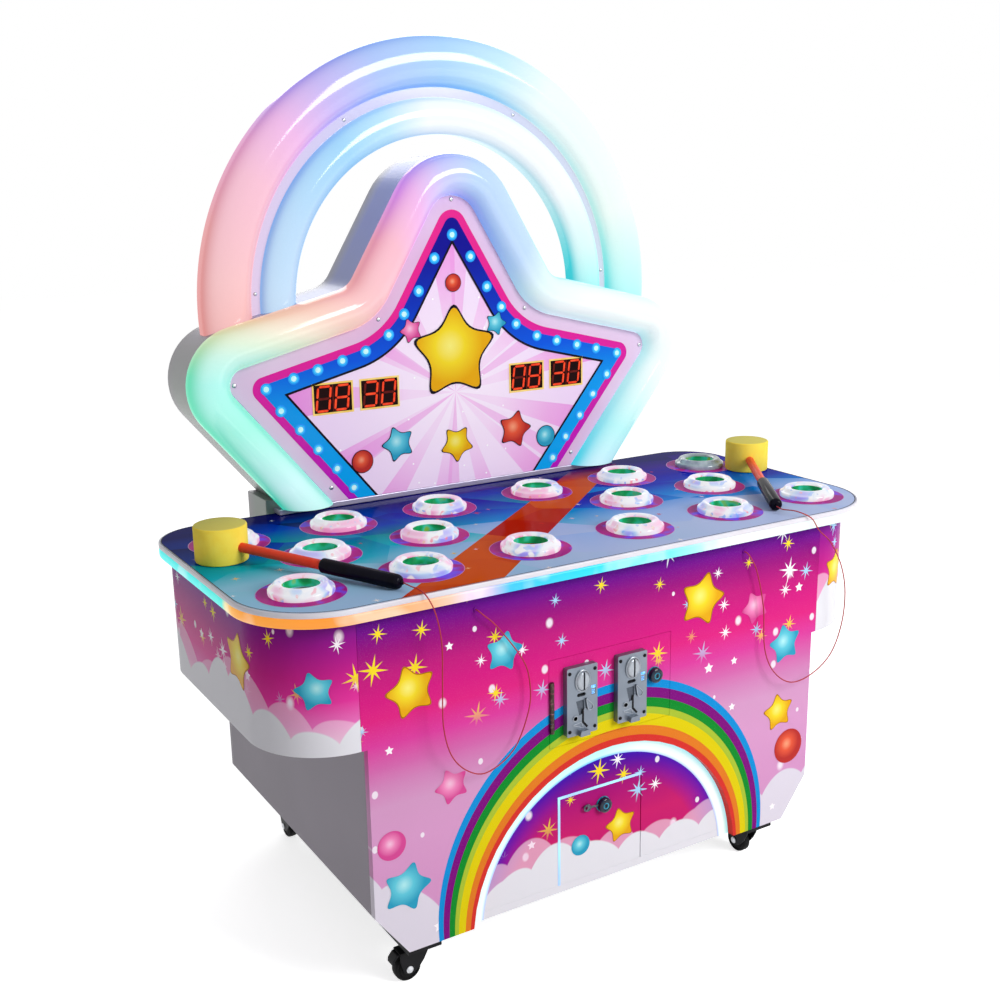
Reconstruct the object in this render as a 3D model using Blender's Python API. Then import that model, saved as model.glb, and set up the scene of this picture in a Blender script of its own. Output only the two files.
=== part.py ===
"""Mole pounding arcade machine: a cabinet on casters with a lit table of sixteen
pop-up moles, a star-shaped score marquee under a light arch, and two corded mallets.

Metres, +Z up, +X to the player's right, +Y to the back. The origin is on the floor
under the middle of the machine. Each function below makes one sub-part.
"""

import math

import bmesh
import bpy
from mathutils import Vector

# General fits
gap = 0.0003            # clearance between pieces that touch
cut_overrun = 0.005     # how far a cutter passes the faces it cuts
board = 0.015           # cabinet boards
thin_board = 0.012      # doors, skirts and the recessed panel

# Whole machine
overall_depth = 0.711
edge_overhang = 0.028   # from the front panel's face to the light strip's front
side_overhang = 0.021   # from a skirt's face to the light strip's side
rear_shelf = 0.108      # what the cabinet reaches back past the table
table_width = 1.296
table_height = 0.728
table_depth = overall_depth - rear_shelf
body_depth = overall_depth - edge_overhang
table_front_radius = 0.148
table_back_radius = 0.100

# Casters and runners
wheel_radius = 0.025
wheel_width = 0.018
caster_height = 0.071
caster_trail = 0.018
caster_plate = 0.060
caster_plate_thickness = 0.003
cheek_thickness = 0.0025
cheek_gap = 0.022
cheek_width = 0.034
axle_radius = 0.004
axle_play = 0.0004
axle_head_radius = 0.0065
axle_head = 0.002
caster_inset = 0.100
caster_front_depth = 0.060
caster_rear_inset = 0.063
runner_width = 0.064
runner_height = 0.0217
runner_start_depth = 0.020
runner_end_inset = 0.023
cross_rail_width = 0.030
rail_step = 0.002

# Control box on the floor of the cabinet
control_box_side_inset = 0.240
control_box_rear_inset = 0.093
control_box_width = 0.220
control_box_depth = 0.160
control_box_height = 0.110

# Lower cabinet
body_inset = 0.168      # from the table's side to the cabinet's side
front_step = 0.010      # what the front panel gains on each side above the skirts' floor
chamfer_width = 0.0605
chamfer_height = 0.082
skirt_height = 0.2268
skirt_back_inset = 0.015
skirt_back_radius = 0.080
bed_drop = 0.088
bed_thickness = 0.009

# Light arch and recessed panel in the front
light_arch_x = 0.0
light_arch_radius = 0.2947
light_arch_clearance = 0.0283
light_band = 0.0265
light_face_depth = 0.003
recess_margin = 0.015

# Coin door, hinged on the left
coin_door_left = -0.1365
coin_door_right = 0.1286
coin_door_drop = 0.174
coin_door_height = 0.164
coin_hinge_radius = 0.004
coin_hinge_proud = 0.003
coin_hinge_length = 0.094
coin_hinge_drop = 0.040
door_gap = 0.0008
mech_width = 0.064
mech_height = 0.127
mech_face = 0.012
mech_left_x = -0.075
mech_right_x = 0.0333
mech_drop = 0.0822
mech_body_width = 0.046
mech_body_height = 0.092
mech_body_depth = 0.052
mech_dial_radius = 0.0155
mech_dial_proud = 0.006
mech_dial_drop = 0.031
mech_foot_width = 0.024
mech_foot_proud = 0.010
mech_foot_height = 0.020
reject_width = 0.015
reject_height = 0.022
reject_drop = 0.072
reject_offset = 0.013
reject_proud = 0.004
reject_travel = 0.003
reject_depth = 0.008

# Cash door, hinged at its bottom
cash_door_left = -0.104
cash_door_right = 0.0755
cash_door_drop = 0.084
cash_door_gap = 0.002
lock_radius = 0.011
lock_barrel_radius = 0.009
lock_proud = 0.012
lock_play = 0.0004
cam_thickness = 0.002
cam_width = 0.014
coin_lock_x = 0.090
coin_lock_drop = 0.075
coin_cam_length = 0.045
cash_lock_x = -0.0105
cash_lock_drop = 0.034
cash_cam_length = 0.046

# Table
deck_thickness = 0.020
film_thickness = 0.002
film_lip = 0.0006
trim_height = 0.0088
trim_width = 0.009
light_strip_height = 0.017
light_strip_width = 0.012
row_depth_shares = (0.1957, 0.4776, 0.7430)
end_row_shares = (0.8333, 0.5062, 0.1744)
middle_row_share = 0.3410
middle_row_inset = 0.046
ring_outer_radius = 0.053
ring_crest_radius = 0.0415
ring_hole_radius = 0.0305
ring_height = 0.019
ring_side_height = 0.008
ring_lip_height = 0.013
deck_hole_play = 0.001
mole_radius = 0.026
mole_dome = 0.013
mole_rise = 0.004
mole_travel = 0.045
stem_radius = 0.006
stem_length = 0.105
stem_play = 0.0012
sleeve_radius = 0.013
sleeve_length = 0.058

# Marquee, with its heights above the table
panel_inset = 0.028
panel_thickness = 0.003
star_top_rise = 0.648
star_waist_x = 0.1767
star_waist_rise = 0.356
star_side_x = 0.500
star_side_rise = 0.2775
star_foot_x = 0.287
star_foot_rise = 0.016
star_top_round = 0.060
star_side_round = 0.030
star_waist_round = 0.130
tube_width = 0.080
tube_bulge = 0.044
flange_width = 0.012
star_bottom_rise = 0.012
housing_inset = 0.004
housing_back_inset = 0.008
housing_wall = 0.012
base_width = 0.820
base_gap = 0.0005
base_rise = 0.0264
rail_height = 0.0113
rail_width = 0.790
rail_reach = 0.031
display_width = 0.084
display_height = 0.060
display_rise = 0.217
display_outer_x = 0.2715
display_inner_x = 0.1715
display_play = 0.0006
display_board_thickness = 0.002
display_board_height = 0.078
display_board_end = 0.010

# Light arch behind the star
arch_rise = 0.3897
arch_outer_radius = 0.504
arch_groove_outer = 0.408
arch_groove_inner = 0.389
arch_inner_radius = 0.3185
arch_setback = 0.053
arch_back_thickness = 0.015
arch_outer_bulge = 0.036
arch_inner_bulge = 0.028
arch_groove_bulge = 0.004
arch_foot_angle = 14

# Mallets and their cords
head_radius = 0.0455
head_height = 0.064
head_axis_height = 0.030
handle_radius = 0.0085
grip_radius = 0.0125
grip_start = 0.215
grip_end = 0.367
left_head_margin = 0.0175
left_head_setback = 0.090
left_aim_share = 0.574
right_head_setback = 0.083
right_aim_share = 0.536
cord_radius = 0.0011
cord_boss_radius = 0.004
cord_boss_proud = 0.0015
cord_lead = 0.006
boss_drop = 0.053
left_boss_x = -0.278
right_boss_x = 0.297

# Rounding steps
dome_shares = (0, 0.5, 0.85)
corner_steps = 6
arch_steps = 36
light_arch_steps = 24
cord_steps = 2
hole_sides = 16
mole_sides = 12
sleeve_sides = 8
wheel_sides = 24

# Heights and places worked out from the sizes above
front_y = edge_overhang - overall_depth / 2
rear_y = overall_depth / 2
table_back_depth = table_depth - edge_overhang
body_width = table_width - 2 * body_inset
upper_front_width = body_width + 2 * front_step
skirt_width = table_width - 2 * side_overhang
skirt_depth = table_back_depth - skirt_back_inset
body_bottom = caster_height + runner_height + gap
caster_x = body_width / 2 - caster_inset
control_box_x = body_width / 2 - control_box_side_inset
caster_rear_depth = body_depth - caster_rear_inset
runner_end_depth = body_depth - runner_end_inset
trim_top = table_height
film_top = trim_top
strip_top = trim_top - trim_height - gap
strip_bottom = strip_top - light_strip_height
deck_top = film_top - film_thickness - gap
deck_bottom = deck_top - deck_thickness
body_top = deck_bottom - gap
skirt_bottom = body_top - skirt_height
bed_top = table_height - bed_drop
bed_bottom = bed_top - bed_thickness
mallet_rest = film_top + gap
coin_door_top = table_height - coin_door_drop
coin_door_bottom = coin_door_top - coin_door_height
coin_hinge_top = coin_door_top - coin_hinge_drop
coin_hinge_bottom = coin_hinge_top - coin_hinge_length
mech_z = coin_door_top - mech_drop
coin_lock_z = coin_door_top - coin_lock_drop
light_arch_height = coin_door_bottom - light_arch_clearance - light_arch_radius
cash_door_top = light_arch_height + light_arch_radius - cash_door_drop
cash_lock_z = cash_door_top - cash_lock_drop
left_boss = (left_boss_x, table_height - boss_drop)
right_boss = (right_boss_x, table_height - boss_drop)
back_row_depth = row_depth_shares[2] * table_depth - edge_overhang
left_head = (head_radius + left_head_margin - table_width / 2, back_row_depth - left_head_setback)
right_head = (table_width / 2 - head_radius, back_row_depth - right_head_setback)
base_front_depth = table_back_depth + base_gap
base_top = table_height + base_rise
star_bottom = table_height + star_bottom_rise
display_z = table_height + display_rise
arch_height = table_height + arch_rise
panel_depth = table_back_depth - panel_inset
rail_front_depth = base_front_depth - rail_reach
arch_lens_depth = panel_depth + arch_setback
housing_back_depth = body_depth - housing_back_inset
panel_y = front_y + panel_depth
lens_y = panel_y + panel_thickness + gap
housing_y = lens_y + panel_thickness + gap


def at_depth(depth):
    """Y of a point that lies this far behind the front panel's face."""
    return front_y + depth


def row_places(depth_share, xs):
    """Mole places in one row, in pairs from the table's ends inwards."""
    y = at_depth(depth_share * table_depth - edge_overhang)
    return [(side * x, y) for x in xs for side in (-1, 1)]


end_row_xs = [share * table_width / 2 for share in end_row_shares]
middle_row_xs = [body_width / 2 - middle_row_inset, middle_row_share * table_width / 2]


def grip_heading(head, side, share):
    """The level direction from a head to a point between the two end rings of the front row."""
    outer, inner = end_row_xs[0], end_row_xs[1]
    x = side * (inner + share * (outer - inner)) - head[0]
    y = row_depth_shares[0] * table_depth - edge_overhang - head[1]
    length = math.hypot(x, y)
    return (x / length, y / length)


left_grip_heading = grip_heading(left_head, -1, left_aim_share)
right_grip_heading = grip_heading(right_head, 1, right_aim_share)
mole_places = row_places(row_depth_shares[0], end_row_xs)
mole_places += row_places(row_depth_shares[1], middle_row_xs)
mole_places += row_places(row_depth_shares[2], end_row_xs)


# Materials

finishes = {
    "grey_laminate": ((0.36, 0.35, 0.37), 0.5, 0.0),
    "printed_magenta": ((0.72, 0.03, 0.28), 0.35, 0.0),
    "printed_purple": ((0.22, 0.02, 0.30), 0.35, 0.0),
    "black_steel": ((0.02, 0.02, 0.02), 0.5, 0.6),
    "black_rubber": ((0.03, 0.03, 0.03), 0.7, 0.0),
    "white_lens": ((0.80, 0.88, 0.92), 0.25, 0.0),
    "white_trim": ((0.75, 0.75, 0.75), 0.4, 0.0),
    "table_board": ((0.45, 0.36, 0.25), 0.7, 0.0),
    "table_print": ((0.12, 0.30, 0.55), 0.2, 0.0),
    "mole_green": ((0.05, 0.45, 0.12), 0.3, 0.0),
    "die_cast": ((0.35, 0.37, 0.40), 0.4, 0.8),
    "lock_navy": ((0.01, 0.02, 0.06), 0.3, 0.3),
    "display_black": ((0.02, 0.01, 0.01), 0.3, 0.0),
    "star_print": ((0.05, 0.15, 0.60), 0.2, 0.0),
    "foam_yellow": ((0.80, 0.62, 0.08), 0.8, 0.0),
    "handle_red": ((0.75, 0.06, 0.02), 0.4, 0.0),
    "cord_red": ((0.45, 0.02, 0.02), 0.5, 0.0),
}


def make_material(key):
    """A plain surface with its colour, roughness and metallic value."""
    if key in bpy.data.materials:
        return bpy.data.materials[key]
    colour, roughness, metallic = finishes[key]
    material = bpy.data.materials.new(key)
    material.use_nodes = True
    shader = material.node_tree.nodes["Principled BSDF"]
    shader.inputs["Base Color"].default_value = (*colour, 1)
    shader.inputs["Roughness"].default_value = roughness
    shader.inputs["Metallic"].default_value = metallic
    return material


# Shapes

def place(axis, u, v, along):
    """A point of an outline (u, v) moved along one of the three axes."""
    if axis == "X":
        return (along, u, v)
    if axis == "Y":
        return (u, along, v)
    return (u, v, along)


def add_prism(bm, outline, axis, start, end):
    """A closed outline extruded along an axis."""
    lower = [bm.verts.new(place(axis, u, v, start)) for u, v in outline]
    upper = [bm.verts.new(place(axis, u, v, end)) for u, v in outline]
    bm.faces.new(lower)
    bm.faces.new(upper)
    for i in range(len(outline)):
        j = (i + 1) % len(outline)
        bm.faces.new((lower[i], lower[j], upper[j], upper[i]))


def add_box(bm, x, y, z):
    """A box between two values on each axis."""
    add_prism(bm, [(x[0], y[0]), (x[1], y[0]), (x[1], y[1]), (x[0], y[1])], "Z", z[0], z[1])


def add_ring_prism(bm, outer, inner, axis, start, end):
    """The band between two outlines with as many points, extruded along an axis."""
    loops = [
        [bm.verts.new(place(axis, u, v, along)) for u, v in outline]
        for outline, along in ((outer, start), (outer, end), (inner, end), (inner, start))
    ]
    for k in range(4):
        here, there = loops[k], loops[(k + 1) % 4]
        for i in range(len(outer)):
            j = (i + 1) % len(outer)
            bm.faces.new((here[i], here[j], there[j], there[i]))


def add_swept_band(bm, lanes):
    """A band whose lanes, the outlines along it, are joined in a ring and capped."""
    rows = [[bm.verts.new(point) for point in lane] for lane in lanes]
    for k in range(len(rows)):
        here, there = rows[k], rows[(k + 1) % len(rows)]
        for i in range(len(here) - 1):
            bm.faces.new((here[i], here[i + 1], there[i + 1], there[i]))
    bm.faces.new([row[0] for row in rows])
    bm.faces.new([row[-1] for row in rows])


def add_turned(bm, profile, sides, centre, axis="Z"):
    """A profile of (radius, height) points turned about an axis, with flat ends."""
    rings = []
    for radius, height in profile:
        ring = []
        for i in range(sides):
            angle = 2 * math.pi * (i + 0.5) / sides
            u, v, w = place(axis, radius * math.cos(angle), radius * math.sin(angle), height)
            ring.append(bm.verts.new((centre[0] + u, centre[1] + v, centre[2] + w)))
        rings.append(ring)
    for here, there in zip(rings, rings[1:]):
        for i in range(sides):
            j = (i + 1) % sides
            bm.faces.new((here[i], here[j], there[j], there[i]))
    bm.faces.new(rings[0])
    bm.faces.new(rings[-1])


def arc(centre, radius, start, end, steps):
    """Points on an arc, both ends included, with angles in degrees."""
    points = []
    for i in range(steps + 1):
        angle = math.radians(start + (end - start) * i / steps)
        points.append((centre[0] + radius * math.cos(angle), centre[1] + radius * math.sin(angle)))
    return points


def table_outline(inset):
    """The table's rounded outline, this far inside its edge."""
    half = table_width / 2 - inset
    front = front_y - edge_overhang + inset
    back = front_y - edge_overhang + table_depth - inset
    front_radius = table_front_radius - inset
    back_radius = table_back_radius - inset
    points = []
    for side, front_start, back_start in ((-1, 180, 90), (1, 270, 0)):
        x = side * (half - front_radius)
        corner = arc((x, front + front_radius), front_radius, front_start, front_start + 90, corner_steps)
        points += corner if side < 0 else []
        if side > 0:
            points += corner
            x = half - back_radius
            points += arc((x, back - back_radius), back_radius, 0, 90, corner_steps)
    x = -(half - back_radius)
    points += arc((x, back - back_radius), back_radius, 90, 180, corner_steps)
    return points


def finish(name, bm, key, origin=(0, 0, 0)):
    """Turn a bmesh into a named object whose origin is where it moves about."""
    bmesh.ops.recalc_face_normals(bm, faces=bm.faces)
    bmesh.ops.translate(bm, verts=bm.verts, vec=[-value for value in origin])
    mesh = bpy.data.meshes.new(name)
    bm.to_mesh(mesh)
    bm.free()
    mesh.materials.append(make_material(key))
    mesh.shade_smooth()
    mesh.set_sharp_from_angle(angle=math.radians(35))
    piece = bpy.data.objects.new(name, mesh)
    piece.location = origin
    bpy.context.collection.objects.link(piece)
    return piece


def tool(name, bm, key):
    """An object that only shapes another one."""
    piece = finish(name, bm, key)
    piece.hide_render = True
    piece.display_type = "WIRE"
    return piece


def shape_with(piece, other, operation):
    """Cut or join one object with another."""
    modifier = piece.modifiers.new(operation.lower(), "BOOLEAN")
    modifier.operation = operation
    modifier.solver = "EXACT"
    modifier.object = other


# Star outline, shared by the lens, the printed panel and the housing

def star_corners():
    """Sharp corners of the star's panel from right foot to left foot."""
    right = [
        (star_foot_x, table_height + star_foot_rise, 0, 0),
        (star_side_x, table_height + star_side_rise, star_side_round, 1),
        (star_waist_x, table_height + star_waist_rise, star_waist_round, -1),
    ]
    left = [(-x, z, radius, turn) for x, z, radius, turn in reversed(right)]
    return right + [(0, table_height + star_top_rise, star_top_round, 1)] + left


def star_outline(offset, bottom):
    """The star's edge, this far outside its panel, ending on a level line."""
    corners = star_corners()
    edges = []
    for (x0, z0, _, _), (x1, z1, _, _) in zip(corners, corners[1:]):
        length = math.hypot(x1 - x0, z1 - z0)
        edges.append(((x1 - x0) / length, (z1 - z0) / length))

    def on_bottom(corner, direction, normal):
        x = corner[0] + offset * normal[0]
        z = corner[1] + offset * normal[1]
        return (x + direction[0] * (bottom - z) / direction[1], bottom)

    normals = [(dz, -dx) for dx, dz in edges]
    points = [on_bottom(corners[0], edges[0], normals[0])]
    for i in range(1, len(corners) - 1):
        x, z, radius, turn = corners[i]
        n0, n1 = normals[i - 1], normals[i]
        spread = 1 + n0[0] * n1[0] + n0[1] * n1[1]
        x += offset * (n0[0] + n1[0]) / spread
        z += offset * (n0[1] + n1[1]) / spread
        rounding = radius + turn * offset
        from_angle = math.atan2(n0[1], n0[0])
        swing = math.atan2(n0[0] * n1[1] - n0[1] * n1[0], n0[0] * n1[0] + n0[1] * n1[1])
        to_angle = from_angle + swing
        half_turn = abs(swing) / 2
        reach = rounding / math.cos(half_turn)
        middle = (from_angle + to_angle) / 2
        centre = (x - turn * reach * math.cos(middle), z - turn * reach * math.sin(middle))
        for k in range(corner_steps + 1):
            angle = from_angle + (to_angle - from_angle) * k / corner_steps
            points.append((
                centre[0] + turn * rounding * math.cos(angle),
                centre[1] + turn * rounding * math.sin(angle),
            ))
    points.append(on_bottom(corners[-1], edges[-1], normals[-1]))
    return points


# Lower cabinet

def make_side_panel(name, side):
    """A side board under the mole bed, slanted inwards at its foot."""
    bm = bmesh.new()
    half = body_width / 2
    slope = math.hypot(chamfer_width, chamfer_height)
    slant_top = body_bottom + chamfer_height
    inner_top = slant_top + board * (slope - chamfer_height) / chamfer_width
    profile = [
        (side * half, bed_bottom - gap),
        (side * half, slant_top),
        (side * (half - chamfer_width), body_bottom),
        (side * inner_foot_x(), body_bottom),
        (side * (half - board), inner_top),
        (side * (half - board), bed_bottom - gap),
    ]
    add_prism(bm, profile, "Y", at_depth(board + gap), rear_y - board - gap)
    finish(name, bm, "grey_laminate")


def inner_foot_x():
    """Half width between the slanted feet at the floor board's bottom."""
    slope = math.hypot(chamfer_width, chamfer_height)
    return body_width / 2 - chamfer_width - board * slope / chamfer_height


def make_base_board():
    bm = bmesh.new()
    half = inner_foot_x() - gap
    depths = (at_depth(board + gap), rear_y - board - gap)
    add_box(bm, (-half, half), depths, (body_bottom, body_bottom + board))
    finish("base_board", bm, "grey_laminate")


def make_base_frame():
    """The welded steel frame that the casters bolt to: two runners and two cross rails."""
    bm = bmesh.new()
    depths = (at_depth(runner_start_depth), at_depth(runner_end_depth))
    for side in (-1, 1):
        x = (side * caster_x - runner_width / 2, side * caster_x + runner_width / 2)
        add_box(bm, x, depths, (caster_height, caster_height + runner_height))
    frame = finish("base_frame", bm, "black_steel")
    rails = bmesh.new()
    z = (caster_height + rail_step, caster_height + runner_height - rail_step)
    for depth in (caster_front_depth, caster_rear_depth):
        y = (at_depth(depth) - cross_rail_width / 2, at_depth(depth) + cross_rail_width / 2)
        add_box(rails, (-caster_x, caster_x), y, z)
    shape_with(frame, tool("cross_rails", rails, "black_steel"), "UNION")


def make_control_box():
    """The steel box on the floor board that holds the power supply and the game board."""
    bm = bmesh.new()
    bottom = body_bottom + board + gap
    x = (control_box_x - control_box_width / 2, control_box_x + control_box_width / 2)
    back = rear_y - control_box_rear_inset
    y = (back - control_box_depth, back)
    add_box(bm, x, y, (bottom, bottom + control_box_height))
    finish("control_box", bm, "black_steel")


def make_front_panel():
    """The printed front board, cut out for the light arch and the coin door."""
    bm = bmesh.new()
    low, high = body_width / 2, upper_front_width / 2
    radius = light_arch_radius + gap
    centre = (light_arch_x, light_arch_height)
    foot = math.degrees(math.asin((body_bottom - light_arch_height) / radius))
    outline = [(-high, body_top), (-high, skirt_bottom), (-low, skirt_bottom)]
    outline += [(-low, body_bottom + chamfer_height), (-(low - chamfer_width), body_bottom)]
    outline += arc(centre, radius, 180 - foot, foot, light_arch_steps)
    outline += [(low - chamfer_width, body_bottom), (low, body_bottom + chamfer_height)]
    outline += [(low, skirt_bottom), (high, skirt_bottom), (high, body_top)]
    add_prism(bm, outline, "Y", front_y, at_depth(board))
    panel = finish("front_panel", bm, "printed_magenta")
    hole = bmesh.new()
    depths = (front_y - cut_overrun, at_depth(board + cut_overrun))
    add_box(hole, (coin_door_left, coin_door_right), depths, (coin_door_bottom, coin_door_top))
    shape_with(panel, tool("coin_door_hole", hole, "printed_magenta"), "DIFFERENCE")
    bosses = bmesh.new()
    for x, z in (left_boss, right_boss):
        profile = [(cord_boss_radius, -cord_boss_proud), (cord_boss_radius, board / 2)]
        add_turned(bosses, profile, mole_sides, (x, front_y, z), "Y")
    shape_with(panel, tool("cord_bosses", bosses, "printed_magenta"), "UNION")


def make_arch_light():
    """The lit band that lines the arched cut-out."""
    bm = bmesh.new()
    centre = (light_arch_x, light_arch_height)
    outer_foot = math.degrees(math.asin((body_bottom - light_arch_height) / light_arch_radius))
    inner = light_arch_radius - light_band
    inner_foot = math.degrees(math.asin((body_bottom - light_arch_height) / inner))
    outline = arc(centre, light_arch_radius, outer_foot, 180 - outer_foot, light_arch_steps)
    outline += arc(centre, inner, 180 - inner_foot, inner_foot, light_arch_steps)
    add_prism(bm, outline, "Y", at_depth(light_face_depth), at_depth(board))
    finish("arch_light", bm, "white_lens")


def make_inner_panel():
    """The recessed printed board inside the light arch, open for the cash door."""
    bm = bmesh.new()
    bottom = body_bottom + board + gap
    radius = light_arch_radius + recess_margin
    centre = (light_arch_x, light_arch_height)
    foot = math.degrees(math.asin((bottom - light_arch_height) / radius))
    left = cash_door_left - cash_door_gap
    right = cash_door_right + cash_door_gap
    top = cash_door_top + cash_door_gap
    outline = arc(centre, radius, foot, 180 - foot, light_arch_steps)
    outline += [(left, bottom), (left, top), (right, top), (right, bottom)]
    add_prism(bm, outline, "Y", at_depth(board + gap), at_depth(board + gap + thin_board))
    finish("inner_panel", bm, "printed_purple")


def make_rear_cover():
    bm = bmesh.new()
    half = body_width / 2
    outline = [(-half, bed_top), (-half, body_bottom + chamfer_height)]
    outline += [(-(half - chamfer_width), body_bottom), (half - chamfer_width, body_bottom)]
    outline += [(half, body_bottom + chamfer_height), (half, bed_top)]
    add_prism(bm, outline, "Y", rear_y - board, rear_y)
    finish("rear_cover", bm, "grey_laminate")


def skirt_corner(inset):
    """The front corner of a skirt, this far inside its face, from front to side."""
    radius = skirt_width / 2 - upper_front_width / 2 - gap
    centre = (upper_front_width / 2 + gap, front_y + radius)
    return arc(centre, radius - inset, 270, 360, corner_steps)


def skirt_back_corner(inset):
    """The back corner of a skirt, this far inside its face, from side to back."""
    centre = (skirt_width / 2 - skirt_back_radius, at_depth(skirt_depth) - skirt_back_radius)
    return arc(centre, skirt_back_radius - inset, 0, 90, corner_steps)


def make_skirt(name, side):
    """A rounded skirt under the table's end, with its floor and rear wall."""
    bm = bmesh.new()
    inner_x = upper_front_width / 2 + gap
    body_x = body_width / 2 + gap
    back = at_depth(skirt_depth)
    outline = skirt_corner(0) + skirt_back_corner(0) + [(body_x, back)]
    outline += [(body_x, at_depth(board + gap)), (inner_x, at_depth(board + gap))]
    add_prism(bm, [(side * x, y) for x, y in outline], "Z", skirt_bottom, body_top)
    piece = finish(name, bm, "printed_magenta")
    hollow = bmesh.new()
    inside = skirt_corner(thin_board)
    inward = body_x - cut_overrun
    cut = inside + skirt_back_corner(thin_board)
    cut += [(inward, back - thin_board), (inward, inside[0][1])]
    add_prism(hollow, [(side * x, y) for x, y in cut], "Z", skirt_bottom + thin_board,
              body_top + cut_overrun)
    shape_with(piece, tool(name + "_hollow", hollow, "printed_magenta"), "DIFFERENCE")
    rear = bmesh.new()
    x = (side * (base_width / 2 + gap), side * (body_x + cut_overrun))
    add_box(rear, x, (back - thin_board, back), (bed_top + gap, body_top))
    shape_with(piece, tool(name + "_rear", rear, "printed_magenta"), "UNION")


# Casters

def make_caster(name, x, depth, heading):
    """A swivel fork and its wheel; the heading is where the wheel trails to."""
    y = at_depth(depth)
    angle = math.radians(heading)
    trail = (math.cos(angle), math.sin(angle))
    across = (-trail[1], trail[0])
    plate_bottom = caster_height - gap - caster_plate_thickness

    def turned_box(bm, along, sideways, z):
        corners = [(along[0], sideways[0]), (along[1], sideways[0])]
        corners += [(along[1], sideways[1]), (along[0], sideways[1])]
        outline = [
            (x + a * trail[0] + s * across[0], y + a * trail[1] + s * across[1])
            for a, s in corners
        ]
        add_prism(bm, outline, "Z", z[0], z[1])

    fork = bmesh.new()
    half_plate = caster_plate / 2
    turned_box(fork, (-half_plate, half_plate), (-half_plate, half_plate),
               (plate_bottom, caster_height - gap))
    piece = finish(name + "_fork", fork, "black_steel", (x, y, caster_height))
    outer = cheek_gap / 2 + cheek_thickness
    cheeks = bmesh.new()
    for sideways in (-1, 1):
        inner_side = sideways * cheek_gap / 2
        outer_side = sideways * outer
        turned_box(cheeks, (caster_trail - cheek_width / 2, caster_trail + cheek_width / 2),
                   (inner_side, outer_side), (wheel_radius - axle_head_radius, plate_bottom + gap))
    shape_with(piece, tool(name + "_cheeks", cheeks, "black_steel"), "UNION")
    axle = bmesh.new()
    reach = outer + axle_head
    centre = (x + caster_trail * trail[0], y + caster_trail * trail[1], wheel_radius)
    axis = "X" if abs(across[0]) > abs(across[1]) else "Y"
    profile = [(axle_radius, -reach), (axle_radius, reach)]
    add_turned(axle, profile, hole_sides, centre, axis)
    shape_with(piece, tool(name + "_axle", axle, "black_steel"), "UNION")

    wheel = bmesh.new()
    half_width = wheel_width / 2
    rim = wheel_radius / math.cos(math.pi / wheel_sides)
    add_turned(wheel, [(rim, -half_width), (rim, half_width)], wheel_sides, centre, axis)
    tyre = finish(name + "_wheel", wheel, "black_rubber", centre)
    bore = bmesh.new()
    bore_radius = (axle_radius + axle_play) / math.cos(math.pi / hole_sides)
    length = half_width + cut_overrun
    add_turned(bore, [(bore_radius, -length), (bore_radius, length)], hole_sides, centre, axis)
    shape_with(tyre, tool(name + "_bore", bore, "black_rubber"), "DIFFERENCE")


# Coin door and its mechanisms

def coin_hinge_axis():
    return (coin_door_left + gap + coin_hinge_radius, front_y - coin_hinge_proud)


def make_coin_door():
    """The board that carries the coin mechanisms, with its hinge barrel."""
    bm = bmesh.new()
    left, right = coin_door_left + door_gap, coin_door_right - door_gap
    bottom, top = coin_door_bottom + door_gap, coin_door_top - door_gap
    hinge_x, hinge_y = coin_hinge_axis()
    add_box(bm, (left, right), (front_y, at_depth(thin_board)), (bottom, top))
    door = finish("coin_door", bm, "printed_magenta", (hinge_x, hinge_y, bottom))
    barrel = bmesh.new()
    span = [(coin_hinge_radius, coin_hinge_bottom), (coin_hinge_radius, coin_hinge_top)]
    add_turned(barrel, span, mole_sides, (hinge_x, hinge_y, 0))
    shape_with(door, tool("coin_hinge_barrel", barrel, "printed_magenta"), "UNION")
    holes = bmesh.new()
    for x in (mech_left_x, mech_right_x):
        half_width = mech_body_width / 2 + gap
        half_height = mech_body_height / 2 + gap
        add_box(holes, (x - half_width, x + half_width),
                (front_y - cut_overrun, at_depth(thin_board + cut_overrun)),
                (mech_z - half_height, mech_z + half_height))
    bore = lock_barrel_radius + lock_play
    reach = [(bore, -cut_overrun), (bore, thin_board + cut_overrun)]
    add_turned(holes, reach, hole_sides, (coin_lock_x, front_y, coin_lock_z), "Y")
    shape_with(door, tool("coin_door_cuts", holes, "printed_magenta"), "DIFFERENCE")


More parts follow.
